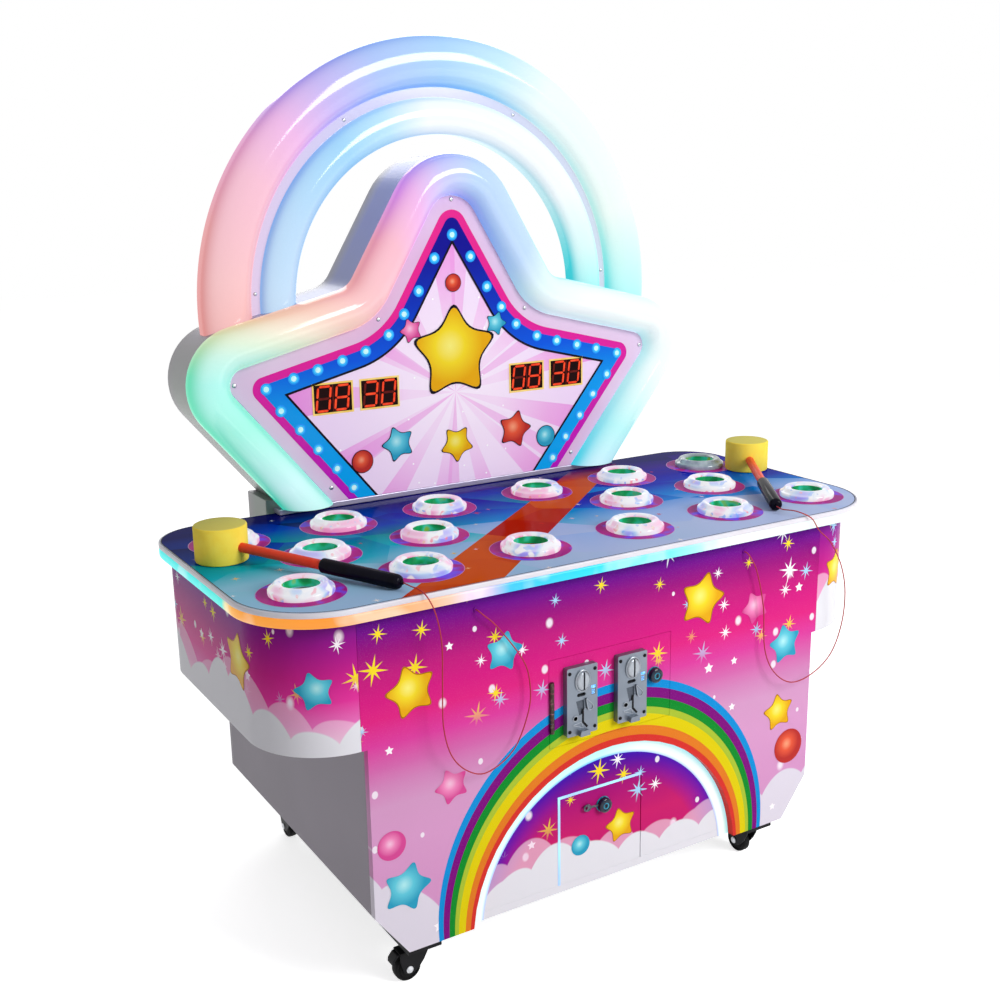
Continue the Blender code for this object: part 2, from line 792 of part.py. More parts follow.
def make_coin_mech(side, x):
    """A die-cast coin acceptor: face, coin dial, return foot and the body behind."""
    name = "coin_mech_" + side
    face_back = front_y - gap
    face_front = face_back - mech_face
    top = mech_z + mech_height / 2
    bm = bmesh.new()
    add_box(bm, (x - mech_width / 2, x + mech_width / 2), (face_front, face_back),
            (top - mech_height, top))
    piece = finish(name, bm, "die_cast")
    extras = bmesh.new()
    half_width, half_height = mech_body_width / 2, mech_body_height / 2
    add_box(extras, (x - half_width, x + half_width), (face_back - gap, at_depth(mech_body_depth)),
            (mech_z - half_height, mech_z + half_height))
    dial = [(mech_dial_radius, -mech_dial_proud), (mech_dial_radius, gap)]
    add_turned(extras, dial, hole_sides, (x, face_front, top - mech_dial_drop), "Y")
    foot_bottom = top - mech_height
    add_box(extras, (x - mech_foot_width / 2, x + mech_foot_width / 2),
            (face_front - mech_foot_proud, face_front + gap),
            (foot_bottom, foot_bottom + mech_foot_height))
    shape_with(piece, tool(name + "_extras", extras, "die_cast"), "UNION")
    pocket = bmesh.new()
    lever_x = x + reject_offset
    lever_top = top - reject_drop + reject_height / 2
    half = reject_width / 2 + gap
    add_box(pocket, (lever_x - half, lever_x + half),
            (face_front - cut_overrun, face_front + reject_depth + reject_travel + gap),
            (lever_top - reject_height - gap, lever_top + gap))
    shape_with(piece, tool(name + "_pocket", pocket, "die_cast"), "DIFFERENCE")
    lever = bmesh.new()
    add_box(lever, (lever_x - reject_width / 2, lever_x + reject_width / 2),
            (face_front - reject_proud, face_front + reject_depth),
            (lever_top - reject_height, lever_top))
    finish("reject_button_" + side, lever, "die_cast", (lever_x, face_front, lever_top))


def make_lock(name, x, z, face, thickness, cam_length, cam_down):
    """A cam lock: its head and barrel turn with the cam behind the door."""
    bm = bmesh.new()
    add_turned(bm, [(lock_radius, -lock_proud), (lock_radius, -gap)], hole_sides, (x, face, z), "Y")
    piece = finish(name, bm, "lock_navy", (x, face, z))
    barrel = bmesh.new()
    cam_face = thickness + gap
    add_turned(barrel, [(lock_barrel_radius, -2 * gap), (lock_barrel_radius, cam_face + cam_thickness)],
               hole_sides, (x, face, z), "Y")
    shape_with(piece, tool(name + "_barrel", barrel, "lock_navy"), "UNION")
    cam = bmesh.new()
    half = cam_width / 2
    depths = (face + cam_face, face + cam_face + cam_thickness)
    if cam_down:
        add_box(cam, (x - half, x + half), depths, (z - cam_length, z))
    else:
        add_box(cam, (x, x + cam_length), depths, (z - half, z + half))
    shape_with(piece, tool(name + "_cam", cam, "lock_navy"), "UNION")


def make_cash_door():
    """The drop-down door inside the light arch, hinged along its bottom edge."""
    bm = bmesh.new()
    bottom = body_bottom + board + gap
    face = at_depth(board + gap)
    add_box(bm, (cash_door_left, cash_door_right), (face, face + thin_board), (bottom, cash_door_top))
    door = finish("cash_door", bm, "printed_purple", (0, face, bottom))
    bore = bmesh.new()
    radius = lock_barrel_radius + lock_play
    reach = [(radius, -cut_overrun), (radius, thin_board + cut_overrun)]
    add_turned(bore, reach, hole_sides, (cash_lock_x, face, cash_lock_z), "Y")
    shape_with(door, tool("cash_door_cut", bore, "printed_purple"), "DIFFERENCE")


# Table

def make_table():
    """The deck board, its white edge trim and the light strip below the trim."""
    bm = bmesh.new()
    inset = light_strip_width + gap
    add_prism(bm, table_outline(inset), "Z", deck_bottom, deck_top)
    deck = finish("table_deck", bm, "table_board")
    holes = bmesh.new()
    radius = ring_hole_radius + deck_hole_play
    for x, y in mole_places:
        span = [(radius, deck_bottom - cut_overrun), (radius, deck_top + cut_overrun)]
        add_turned(holes, span, hole_sides, (x, y, 0))
    shape_with(deck, tool("deck_holes", holes, "table_board"), "DIFFERENCE")

    trim = bmesh.new()
    add_ring_prism(trim, table_outline(0), table_outline(trim_width), "Z",
                   trim_top - trim_height, trim_top)
    finish("table_trim", trim, "white_trim")

    strip = bmesh.new()
    add_ring_prism(strip, table_outline(0), table_outline(light_strip_width), "Z",
                   strip_bottom, strip_top)
    finish("edge_light", strip, "white_lens")


def make_playfield():
    """The printed film with the sixteen domed light rings standing on it."""
    bm = bmesh.new()
    add_prism(bm, table_outline(trim_width + gap), "Z", film_top - film_thickness, film_top)
    film = finish("playfield", bm, "table_print")
    holes = bmesh.new()
    rings = bmesh.new()
    low = film_top - film_thickness / 2
    profile = [
        (ring_hole_radius, low),
        (ring_outer_radius, low),
        (ring_outer_radius, film_top + ring_side_height),
        (ring_crest_radius, film_top + ring_height),
        (ring_hole_radius, film_top + ring_lip_height),
    ]
    for x, y in mole_places:
        radius = ring_hole_radius - film_lip
        span = [(radius, film_top - film_thickness - cut_overrun), (radius, film_top + cut_overrun)]
        add_turned(holes, span, hole_sides, (x, y, 0))
        loops = []
        for radius, height in profile:
            turns = [2 * math.pi * (i + 0.5) / hole_sides for i in range(hole_sides)]
            loops.append([rings.verts.new((x + radius * math.cos(t), y + radius * math.sin(t), height))
                          for t in turns])
        for k in range(len(loops)):
            here, there = loops[k], loops[(k + 1) % len(loops)]
            for i in range(hole_sides):
                j = (i + 1) % hole_sides
                rings.faces.new((here[i], here[j], there[j], there[i]))
    shape_with(film, tool("film_holes", holes, "white_lens"), "DIFFERENCE")
    shape_with(film, tool("light_rings", rings, "white_lens"), "UNION")


def make_mole_bed():
    """The tray below the table, with a drive sleeve under each mole."""
    bm = bmesh.new()
    front = at_depth(board + gap)
    step = at_depth(skirt_depth) - thin_board - gap
    corner = [(x, y) for x, y in skirt_corner(thin_board + gap) if y > front + gap]
    right = [(upper_front_width / 2, front)] + corner
    right += skirt_back_corner(thin_board + gap) + [(body_width / 2, step)]
    right += [(body_width / 2, rear_y - board - gap)]
    outline = [(-x, y) for x, y in reversed(right)] + right
    add_prism(bm, outline, "Z", bed_bottom, bed_top)
    bed = finish("mole_bed", bm, "black_steel")
    sleeves = bmesh.new()
    bores = bmesh.new()
    for x, y in mole_places:
        span = [(sleeve_radius, bed_bottom - sleeve_length), (sleeve_radius, bed_top - bed_thickness / 2)]
        add_turned(sleeves, span, sleeve_sides, (x, y, 0))
        bore = (stem_radius + stem_play) / math.cos(math.pi / sleeve_sides)
        span = [(bore, bed_bottom - sleeve_length - cut_overrun), (bore, bed_top + cut_overrun)]
        add_turned(bores, span, sleeve_sides, (x, y, 0))
    shape_with(bed, tool("drive_sleeves", sleeves, "black_steel"), "UNION")
    shape_with(bed, tool("drive_bores", bores, "black_steel"), "DIFFERENCE")


def make_mole(number, x, y):
    """A domed mole on its drive stem, resting on the bed."""
    bm = bmesh.new()
    base = bed_top + gap
    top = trim_top + mole_rise
    dome_points = []
    for share in dome_shares:
        angle = share * math.pi / 2
        dome_points.append((mole_radius * math.cos(angle), top - mole_dome + mole_dome * math.sin(angle)))
    profile = [(stem_radius, base - stem_length), (stem_radius, base), (mole_radius, base)]
    add_turned(bm, profile + dome_points, mole_sides, (x, y, 0))
    finish("mole_%02d" % number, bm, "mole_green", (x, y, base))


# Marquee

def make_marquee_base():
    """The block behind the table that carries the star, with the rail under its panel."""
    bm = bmesh.new()
    half = base_width / 2
    front = at_depth(base_front_depth)
    add_box(bm, (-half, half), (front, at_depth(housing_back_depth)), (bed_top + gap, base_top))
    piece = finish("marquee_base", bm, "grey_laminate")
    rail = bmesh.new()
    rail_half = rail_width / 2
    rail_top = star_bottom - gap
    add_box(rail, (-rail_half, rail_half), (at_depth(rail_front_depth), front + board),
            (rail_top - rail_height, rail_top))
    shape_with(piece, tool("marquee_rail", rail, "grey_laminate"), "UNION")


def make_marquee_housing():
    """The star-shaped box behind the panel, open at the front."""
    bm = bmesh.new()
    bottom = base_top + gap
    outline = star_outline(tube_width - housing_inset, bottom)
    add_prism(bm, outline, "Y", housing_y, at_depth(housing_back_depth))
    piece = finish("marquee_housing", bm, "grey_laminate")
    hollow = bmesh.new()
    inside = star_outline(tube_width - housing_inset - housing_wall, bottom + housing_wall)
    add_prism(hollow, inside, "Y", housing_y - cut_overrun, at_depth(housing_back_depth) - housing_wall)
    shape_with(piece, tool("housing_hollow", hollow, "grey_laminate"), "DIFFERENCE")


def make_star_lens():
    """The translucent half-round tube round the star, on its mounting flange."""
    bm = bmesh.new()
    back = lens_y + panel_thickness
    section = [(-flange_width, back), (-flange_width, lens_y), (gap, lens_y)]
    for k in range(corner_steps + 1):
        angle = math.pi * (1 - k / corner_steps)
        middle = tube_width / 2 + gap
        u = middle + (tube_width / 2 - gap) * math.cos(angle)
        section.append((u, panel_y - tube_bulge * math.sin(angle) + (lens_y - panel_y) / 2))
    section.append((tube_width, back))
    lanes = []
    for offset, y in section:
        lanes.append([(x, y, z) for x, z in star_outline(offset, star_bottom)])
    add_swept_band(bm, lanes)
    finish("star_lens", bm, "white_lens")


def display_places():
    return [(-display_outer_x, display_z), (-display_inner_x, display_z),
            (display_inner_x, display_z), (display_outer_x, display_z)]


def make_star_panel():
    """The printed panel inside the star, with a window for each display."""
    bm = bmesh.new()
    add_prism(bm, star_outline(-gap, star_bottom), "Y", panel_y, panel_y + panel_thickness)
    panel = finish("star_panel", bm, "star_print")
    windows = bmesh.new()
    for x, z in display_places():
        half_width = display_width / 2 + display_play
        half_height = display_height / 2 + display_play
        add_box(windows, (x - half_width, x + half_width),
                (panel_y - cut_overrun, panel_y + panel_thickness + cut_overrun),
                (z - half_height, z + half_height))
    shape_with(panel, tool("display_windows", windows, "star_print"), "DIFFERENCE")


def make_display_board():
    """One circuit board behind the panel with the four two-digit displays."""
    bm = bmesh.new()
    back = panel_y + panel_thickness + gap
    half = display_outer_x + display_width / 2 + display_board_end
    half_height = display_board_height / 2
    add_box(bm, (-half, half), (back, back + display_board_thickness),
            (display_z - half_height, display_z + half_height))
    piece = finish("display_board", bm, "display_black")
    modules = bmesh.new()
    for x, z in display_places():
        add_box(modules, (x - display_width / 2, x + display_width / 2),
                (panel_y, back + display_board_thickness / 2),
                (z - display_height / 2, z + display_height / 2))
    shape_with(piece, tool("display_modules", modules, "display_black"), "UNION")


def make_arch_lens():
    """The rainbow of light behind the star: two tubes with a groove, on a back plate."""
    bm = bmesh.new()
    front = at_depth(arch_lens_depth)
    back = front + arch_back_thickness
    groove = front - arch_groove_bulge
    section = [(arch_outer_radius, back)]
    tubes = ((arch_outer_radius, arch_groove_outer, arch_outer_bulge),
             (arch_groove_inner, arch_inner_radius, arch_inner_bulge))
    for outer, inner, bulge in tubes:
        middle, half = (outer + inner) / 2, (outer - inner) / 2
        for k in range(corner_steps + 1):
            angle = math.pi * k / corner_steps
            section.append((middle + half * math.cos(angle), groove - bulge * math.sin(angle)))
    section.append((arch_inner_radius, back))
    lanes = []
    for radius, y in section:
        points = arc((0, arch_height), radius, -arch_foot_angle, 180 + arch_foot_angle, arch_steps)
        lanes.append([(x, y, z) for x, z in points])
    add_swept_band(bm, lanes)
    arch = finish("arch_lens", bm, "white_lens")
    cutter = bmesh.new()
    outline = star_outline(tube_width - housing_inset + gap, base_top)
    add_prism(cutter, outline, "Y", front - arch_outer_radius, back + cut_overrun)
    shape_with(arch, tool("star_clearance", cutter, "white_lens"), "DIFFERENCE")


# Mallets and cords

def mallet_point(head, heading, distance):
    """A point on a mallet's handle axis, this far from the middle of its head."""
    start_z = mallet_rest + head_axis_height
    slope = (grip_radius - head_axis_height) / grip_end
    x = head[0] + heading[0] * distance
    y = at_depth(head[1]) + heading[1] * distance
    return (x, y, start_z + slope * distance)


def grip_tip(head, heading):
    """The end of a grip and the direction that its cord leaves in."""
    end = mallet_point(head, heading, grip_end)
    near = mallet_point(head, heading, grip_start)
    length = math.dist(end, near)
    return end, [(p - q) / length for p, q in zip(end, near)]


def make_mallet(side, head, heading):
    """A foam head on a tube handle with a thicker grip, lying on the table."""
    base = mallet_rest
    x, y = head[0], at_depth(head[1])
    name = "mallet_" + side

    def add_rod(bm, near, far, radius, sides):
        lanes = []
        for k in range(sides):
            angle = 2 * math.pi * (k + 0.5) / sides
            across, up = radius * math.cos(angle), radius * math.sin(angle)
            lane = []
            for distance in (near, far):
                px, py, pz = mallet_point(head, heading, distance)
                lane.append((px - heading[1] * across, py + heading[0] * across, pz + up))
            lanes.append(lane)
        add_swept_band(bm, lanes)

    top = bmesh.new()
    add_turned(top, [(head_radius, base), (head_radius, base + head_height)], wheel_sides, (x, y, 0))
    foam = finish(name + "_head", top, "foam_yellow", (x, y, base))
    socket = bmesh.new()
    socket_radius = handle_radius + 2 * gap
    add_rod(socket, 0, head_radius + cut_overrun, socket_radius, mole_sides)
    shape_with(foam, tool(name + "_socket", socket, "foam_yellow"), "DIFFERENCE")

    tube = bmesh.new()
    add_rod(tube, gap, grip_end - gap, handle_radius, mole_sides)
    handle = finish(name + "_handle", tube, "handle_red", (x, y, base))
    grip = bmesh.new()
    add_rod(grip, grip_start, grip_end, grip_radius, hole_sides)
    shape_with(handle, tool(name + "_grip", grip, "handle_red"), "UNION")


def smooth_route(points, steps):
    """A smooth curve through a route's points, with its first and last runs straight."""
    smooth = [points[0]]
    for a, b, c, d in zip(points, points[1:], points[2:], points[3:]):
        for k in range(steps):
            t = k / steps
            smooth.append([
                0.5 * (2 * q + (r - p) * t + (2 * p - 5 * q + 4 * r - s) * t * t
                       + (3 * q - p - 3 * r + s) * t ** 3)
                for p, q, r, s in zip(a, b, c, d)
            ])
    return smooth + [points[-2], points[-1]]


left_cord_route = (
    (-0.3970, -0.3390, 0.7385),
    (-0.3915, -0.3500, 0.7365),
    (-0.3835, -0.3625, 0.7260),
    (-0.3700, -0.3640, 0.6950),
    (-0.3605, -0.3630, 0.6450),
    (-0.3600, -0.3610, 0.5800),
    (-0.3590, -0.3580, 0.5000),
    (-0.3420, -0.3540, 0.4410),
    (-0.3080, -0.3510, 0.4040),
    (-0.2700, -0.3490, 0.3940),
    (-0.2180, -0.3450, 0.4200),
    (-0.1870, -0.3420, 0.4800),
    (-0.1830, -0.3410, 0.5280),
    (-0.1960, -0.3400, 0.5740),
    (-0.2430, -0.3390, 0.6400),
    (-0.2690, -0.3400, 0.6660),
)

right_cord_route = (
    (0.3990, -0.3190, 0.7385),
    (0.4100, -0.3440, 0.7385),
    (0.4300, -0.3625, 0.7265),
    (0.4500, -0.3640, 0.7000),
    (0.4830, -0.3640, 0.6700),
    (0.5150, -0.3630, 0.6180),
    (0.5310, -0.3610, 0.5600),
    (0.5290, -0.3580, 0.4950),
    (0.5060, -0.3550, 0.4370),
    (0.4600, -0.3520, 0.4040),
    (0.4080, -0.3500, 0.3980),
    (0.3660, -0.3460, 0.4280),
    (0.3443, -0.3420, 0.4790),
    (0.3390, -0.3405, 0.5600),
    (0.3210, -0.3400, 0.6320),
    (0.3040, -0.3400, 0.6640),
)


def make_cord(name, grip, route, boss):
    """A thin round cord from the end of a grip, along its route, to its boss."""
    end, heading = grip
    start = [p + d * gap for p, d in zip(end, heading)]
    lead = [p + d * cord_lead for p, d in zip(end, heading)]
    face = front_y - cord_boss_proud
    far = [(boss[0], face - cord_lead, boss[1]), (boss[0], face - gap, boss[1])]
    points = smooth_route([start, lead] + list(route) + far, cord_steps)
    curve = bpy.data.curves.new(name, "CURVE")
    curve.dimensions = "3D"
    curve.bevel_depth = cord_radius
    curve.bevel_resolution = 2
    curve.render_resolution_u = 0
    curve.use_fill_caps = True
    spline = curve.splines.new("POLY")
    spline.points.add(len(points) - 1)
    for spot, point in zip(spline.points, points):
        spot.co = Vector(point).to_4d()
    curve.materials.append(make_material("cord_red"))
    bpy.context.collection.objects.link(bpy.data.objects.new(name, curve))


def main():
    for piece in list(bpy.data.objects):
        bpy.data.objects.remove(piece)
    make_side_panel("side_panel_left", -1)
    make_side_panel("side_panel_right", 1)
    make_base_board()
    make_base_frame()
    make_control_box()
    make_front_panel()
    make_arch_light()
    make_inner_panel()
    make_rear_cover()
    make_skirt("skirt_left", -1)
    make_skirt("skirt_right", 1)
    make_caster("caster_front_left", -caster_x, caster_front_depth, 180)
    make_caster("caster_front_right", caster_x, caster_front_depth, 90)
    make_caster("caster_rear_left", -caster_x, caster_rear_depth, 90)
    make_caster("caster_rear_right", caster_x, caster_rear_depth, 90)
    make_coin_door()
    make_coin_mech("left", mech_left_x)
    make_coin_mech("right", mech_right_x)
    make_lock("coin_lock", coin_lock_x, coin_lock_z, front_y, board, coin_cam_length, True)
    make_cash_door()
    make_lock("cash_lock", cash_lock_x, cash_lock_z, at_depth(board + gap), thin_board,
              cash_cam_length, False)
    make_table()
    make_playfield()
    make_mole_bed()
    for number, (x, y) in enumerate(mole_places, start=1):
        make_mole(number, x, y)
    make_marquee_base()
    make_marquee_housing()
    make_star_lens()
    make_star_panel()
    make_display_board()
    make_arch_lens()
    make_mallet("left", left_head, left_grip_heading)
    make_mallet("right", right_head, right_grip_heading)
    make_cord("cord_left", grip_tip(left_head, left_grip_heading), left_cord_route, left_boss)
    make_cord("cord_right", grip_tip(right_head, right_grip_heading), right_cord_route, right_boss)


main()
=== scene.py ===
# %% [markdown]
# # A mole pounding machine
# This lesson dresses an arcade cabinet: a printed body on casters, a lit table with sixteen moles,
# a star-shaped marquee under a light arch, and two corded mallets.
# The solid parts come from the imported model, and each cell below gives them a finish or builds a
# finer piece in the same place.

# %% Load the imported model
import math

import bmesh
import bpy
from mathutils import Matrix, Vector


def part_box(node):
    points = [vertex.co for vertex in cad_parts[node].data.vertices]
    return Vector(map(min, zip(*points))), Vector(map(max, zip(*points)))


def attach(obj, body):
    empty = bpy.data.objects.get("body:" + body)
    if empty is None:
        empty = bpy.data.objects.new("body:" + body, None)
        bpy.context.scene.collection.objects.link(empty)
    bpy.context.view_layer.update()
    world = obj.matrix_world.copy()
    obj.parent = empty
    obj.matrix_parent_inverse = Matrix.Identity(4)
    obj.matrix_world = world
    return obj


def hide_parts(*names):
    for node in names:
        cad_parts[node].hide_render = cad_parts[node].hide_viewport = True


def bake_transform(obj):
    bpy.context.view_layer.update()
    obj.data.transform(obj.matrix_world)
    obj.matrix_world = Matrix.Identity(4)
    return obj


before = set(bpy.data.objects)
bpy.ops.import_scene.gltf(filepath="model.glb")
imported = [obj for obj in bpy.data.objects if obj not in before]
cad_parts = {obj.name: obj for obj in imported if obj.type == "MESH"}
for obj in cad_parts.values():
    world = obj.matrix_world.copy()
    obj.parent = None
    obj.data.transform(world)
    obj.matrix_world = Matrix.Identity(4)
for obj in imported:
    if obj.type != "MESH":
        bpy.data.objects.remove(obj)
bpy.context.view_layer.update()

# %% [markdown]
# ## Camera
# The picture was taken with a normal lens from the front left, at about a child's height.
# The lens, place and direction below were solved from the cabinet's straight edges.
# A matrix built from three directions sets the turn, so no angle has to be guessed twice.

# %% Camera
def placed(name, data):
    """A new object in the scene."""
    made = bpy.data.objects.new(name, data)
    bpy.context.collection.objects.link(made)
    return made


yaw, pitch, roll = (math.radians(a) for a in (31.051, 14.427, 0.943))
forward = Vector((math.sin(yaw) * math.cos(pitch), math.cos(yaw) * math.cos(pitch),
    -math.sin(pitch)))
level = Vector((math.cos(yaw), -math.sin(yaw), 0))
down = forward.cross(level)
right = math.cos(roll) * level + math.sin(roll) * down
up = math.sin(roll) * level - math.cos(roll) * down
camera = placed("camera", bpy.data.cameras.new("camera"))
camera.data.sensor_width = 36
camera.data.lens = 45.616
turn = Matrix((right, up, -forward)).transposed()
camera.matrix_world = Matrix.Translation((-1.2464, -2.0192, 1.3588)) @ turn.to_4x4()
bpy.context.scene.camera = camera
print("camera", [round(v, 3) for v in camera.location])

# %% [markdown]
# ## Sizes that several cells share
# A real cabinet maker works from one drawing. These are the drawing's main sizes, in metres,
# and each finer piece below is built from them.

# %% Shared sizes
front_y, back_y = -0.3275, 0.2325
recess_y = front_y + 0.0153
seam = 0.0003
film_top = 0.728
body_top = 0.7054
skirt_bottom, skirt_half, front_half, body_half = 0.4786, 0.627, 0.49, 0.48
skirt_radius = skirt_half - front_half - seam
panel_y, lens_y = 0.2195, 0.2228
arch_centre, arch_y = 1.1177, 0.2725
star_centre, star_foot, burst_centre, base_top = 1.0, 0.740, 0.93, 0.7544
band_centre, band_inner, band_outer = 0.067, 0.2682, 0.2947
mole_spots = [(x, y) for y, xs in ((-0.2375, (0.54, 0.328, 0.113)), (-0.0675, (0.434, 0.221)),
                                   (0.0925, (0.54, 0.328, 0.113))) for w in xs for x in (-w, w)]
print("moles", len(mole_spots))

# %% [markdown]
# ## Mesh helpers
# Most pieces here are one of four shapes: a flat outline pushed along an axis, a profile turned
# about an axis, a section swept along an outline, or a flat sticker. One small function makes each.
# Bevels are modifiers, because a modifier keeps the mesh short and catches the light on its edges.

# %% Mesh helpers
def arc(centre, radius, start, end, steps):
    """Points on an arc, both ends included, with angles in degrees."""
    turns = [math.radians(start + (end - start) * k / steps) for k in range(steps + 1)]
    return [(centre[0] + radius * math.cos(t), centre[1] + radius * math.sin(t)) for t in turns]


def on_axis(axis, u, v, along):
    """A point of an outline (u, v) moved along one of the three axes."""
    return {"X": (along, u, v), "Y": (u, along, v), "Z": (u, v, along)}[axis]


def solid(name, bm):
    """A bmesh as an object, with its faces turned outward."""
    bmesh.ops.recalc_face_normals(bm, faces=bm.faces)
    mesh = bpy.data.meshes.new(name)
    bm.to_mesh(mesh)
    bm.free()
    return placed(name, mesh)


def piece(name, bm, body, finish, bevel=0.0, segments=2):
    """Turn a bmesh into a piece that rides on a body and has its finish."""
    made = solid(name, bm)
    made.data.materials.append(finish)
    soften(made, bevel, segments)
    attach(made, body)
    return made


def soften(made, bevel, segments=2):
    """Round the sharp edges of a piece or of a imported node, and shade it smooth."""
    if bevel:
        edge = made.modifiers.new("edges", "BEVEL")
        edge.width, edge.segments, edge.limit_method = bevel, segments, "ANGLE"
        edge.angle_limit = math.radians(38)
        edge.harden_normals = True
    made.data.shade_smooth()
    if not bevel:
        made.data.set_sharp_from_angle(angle=math.radians(40))


def add_slab(bm, near, far):
    """Two like outlines of points, closed and joined."""
    ends = [[bm.verts.new(point) for point in loop] for loop in (near, far)]
    bm.faces.new(ends[0])
    bm.faces.new(ends[1])
    for i in range(len(near)):
        j = (i + 1) % len(near)
        bm.faces.new((ends[0][i], ends[0][j], ends[1][j], ends[1][i]))


def add_prism(bm, outline, axis, start, end):
    """A closed outline pushed along an axis."""
    add_slab(bm, *([on_axis(axis, u, v, along) for u, v in outline] for along in (start, end)))


def slot_outline(centre, half, radius, steps):
    """A slot with round ends, from half its straight length and its ends' radius."""
    u, v = centre
    return arc((u + half, v), radius, -90, 90, steps) + arc((u - half, v), radius, 90, 270, steps)


def rectangle(u0, u1, v0, v1):
    """The corners of a rectangle."""
    return [(u0, v0), (u1, v0), (u1, v1), (u0, v1)]


def add_box(bm, x, y, z):
    """A box between two values on each axis."""
    add_prism(bm, rectangle(*x, *y), "Z", *z)


def add_turned(bm, profile, centre, axis="Z", sides=48, frame_of=None):
    """A profile of (radius, height) points turned about an axis. A closed profile makes a ring."""
    closed = profile[0] == profile[-1]
    rings = []
    for radius, height in profile[:-1] if closed else profile:
        ring = []
        for i in range(sides):
            angle = 2 * math.pi * i / sides
            spot = Vector(on_axis(axis, radius * math.cos(angle), radius * math.sin(angle), height))
            if frame_of:
                spot = frame_of @ Vector((radius * math.cos(angle), radius * math.sin(angle),
                    height))
            ring.append(bm.verts.new(Vector(centre) + spot))
        rings.append(ring)
    pairs = list(zip(rings, rings[1:])) + ([(rings[-1], rings[0])] if closed else [])
    for here, there in pairs:
        for i in range(sides):
            j = (i + 1) % sides
            bm.faces.new((here[i], here[j], there[j], there[i]))
    if not closed:
        bm.faces.new(rings[0])
        bm.faces.new(rings[-1])


def add_lanes(bm, lanes, looped=True, ring=True):
    """A section swept along outlines. Each lane is the path of one point of the section."""
    rows = [[bm.verts.new(point) for point in lane] for lane in lanes]
    count = len(rows[0])
    for k in range(len(rows) if looped else len(rows) - 1):
        here, there = rows[k], rows[(k + 1) % len(rows)]
        for i in range(count if ring else count - 1):
            j = (i + 1) % count
            bm.faces.new((here[i], here[j], there[j], there[i]))
    if not ring:
        bm.faces.new([row[0] for row in rows])
        bm.faces.new([row[-1] for row in rows])


def carve(made, bm):
    """Cut a bmesh out of a piece for good."""
    cutter = solid("cutter", bm)
    step = made.modifiers.new("cut", "BOOLEAN")
    step.operation, step.solver, step.object = "DIFFERENCE", "EXACT", cutter
    bpy.context.view_layer.update()
    graph = bpy.context.evaluated_depsgraph_get()
    mesh = bpy.data.meshes.new_from_object(made.evaluated_get(graph))
    made.modifiers.remove(step)
    made.data = mesh
    bpy.data.objects.remove(cutter)


def pointed_star(radius, inner, points, first=90.0):
    """The corners of a star with sharp points."""
    corners = []
    for k in range(2 * points):
        r = radius if k % 2 == 0 else radius * inner
        angle = math.radians(first + 180 * k / points)
        corners.append((r * math.cos(angle), r * math.sin(angle)))
    return corners


def rounded(corners, radius, steps=5):
    """The same outline with its corners rounded."""
    soft = []
    count = len(corners)
    for i in range(count):
        a, b, c = (Vector(corners[(i + k) % count]) for k in (-1, 0, 1))
        d0, d1 = (a - b).normalized(), (c - b).normalized()
        reach = min(radius, (a - b).length * 0.45, (c - b).length * 0.45)
        for k in range(steps + 1):
            t = k / steps
            p0, p1 = b + d0 * reach * (1 - t), b + d1 * reach * t
            soft.append(tuple(p0.lerp(p1, t)))
    return soft


# %% [markdown]
# ## Finish helpers
# Colours are written as a paint shop would give them, in hex, and one function turns them into
# the linear values that a shader needs. One more function adds a node, sets it and links it.
# Every pattern reads Object coordinates, which are the drawing's metres, so a size in millimetres
# goes straight into a pattern's scale.

# %% Finish helpers
def colour(text):
    """An sRGB hex colour as linear red, green, blue and alpha."""
    parts = [int(text[i:i + 2], 16) / 255 for i in (1, 3, 5)]
    return (*((c / 12.92) if c <= 0.04045 else ((c + 0.055) / 1.055) ** 2.4 for c in parts), 1.0)


def add(kind, *values, stops=None, hard=False, **more):
    """Add a node, such as "TexNoise", "VectorMath ADD" or a sum like "ADD", and return its outputs.

    The values go to the sockets in use, in order. A named one goes to the socket or the setting of
    that name. A value may be a hex colour, or another node's outputs: their first in use is linked.
    """
    kind, _, mode = kind.partition(" ")
    if kind.isupper():
        kind, mode = "Math", kind
    node = tree.nodes.new("ShaderNode" + kind)
    if mode:
        setattr(node, "data_type" if kind == "Mix" else "operation", mode)
    for name in [name for name in more if name[0].islower()]:
        setattr(node, name, more.pop(name))
    if stops:
        ramp = node.color_ramp
        while len(ramp.elements) < len(stops):
            ramp.elements.new(0.5)
        for element, (place, shade) in zip(ramp.elements, stops):
            element.position = place
        for element, (place, shade) in zip(ramp.elements, stops):
            element.color = colour(shade)
        if hard:
            ramp.interpolation = "CONSTANT"
    in_use = [socket for socket in node.inputs if socket.enabled]
    named = [(node.inputs[name], value) for name, value in more.items()]
    for socket, value in [*zip(in_use, values), *named]:
        if isinstance(value, (bpy.types.NodeSocket, bpy.types.bpy_prop_collection)):
            link(value, socket)
        else:
            socket.default_value = colour(value) if isinstance(value, str) else value
    return node.outputs


def link(value, socket):
    """Link a socket, or the first in use of a node's outputs."""
    if isinstance(value, bpy.types.bpy_prop_collection):
        value = next(output for output in value if output.enabled)
    tree.links.new(value, socket)


def start(name, **sockets):
    """A new material with constants on its shader. Later nodes go into its tree."""
    global tree, shader
    made = bpy.data.materials.new(name)
    made.use_nodes = True
    tree = made.node_tree
    shader = tree.nodes["Principled BSDF"]
    set_shader(**sockets)
    return made


def set_shader(**sockets):
    """Set constants on the shader's own sockets."""
    for key, value in sockets.items():
        shader.inputs[key.replace("_", " ")].default_value = value


def into(value, name="Base Color"):
    """Link an output to one of the shader's own sockets."""
    link(value, shader.inputs[name])


def shine(tint, glow):
    """Give the surface one colour by day and by its own light."""
    into(tint)
    into(tint, "Emission Color")
    set_shader(Emission_Strength=glow)


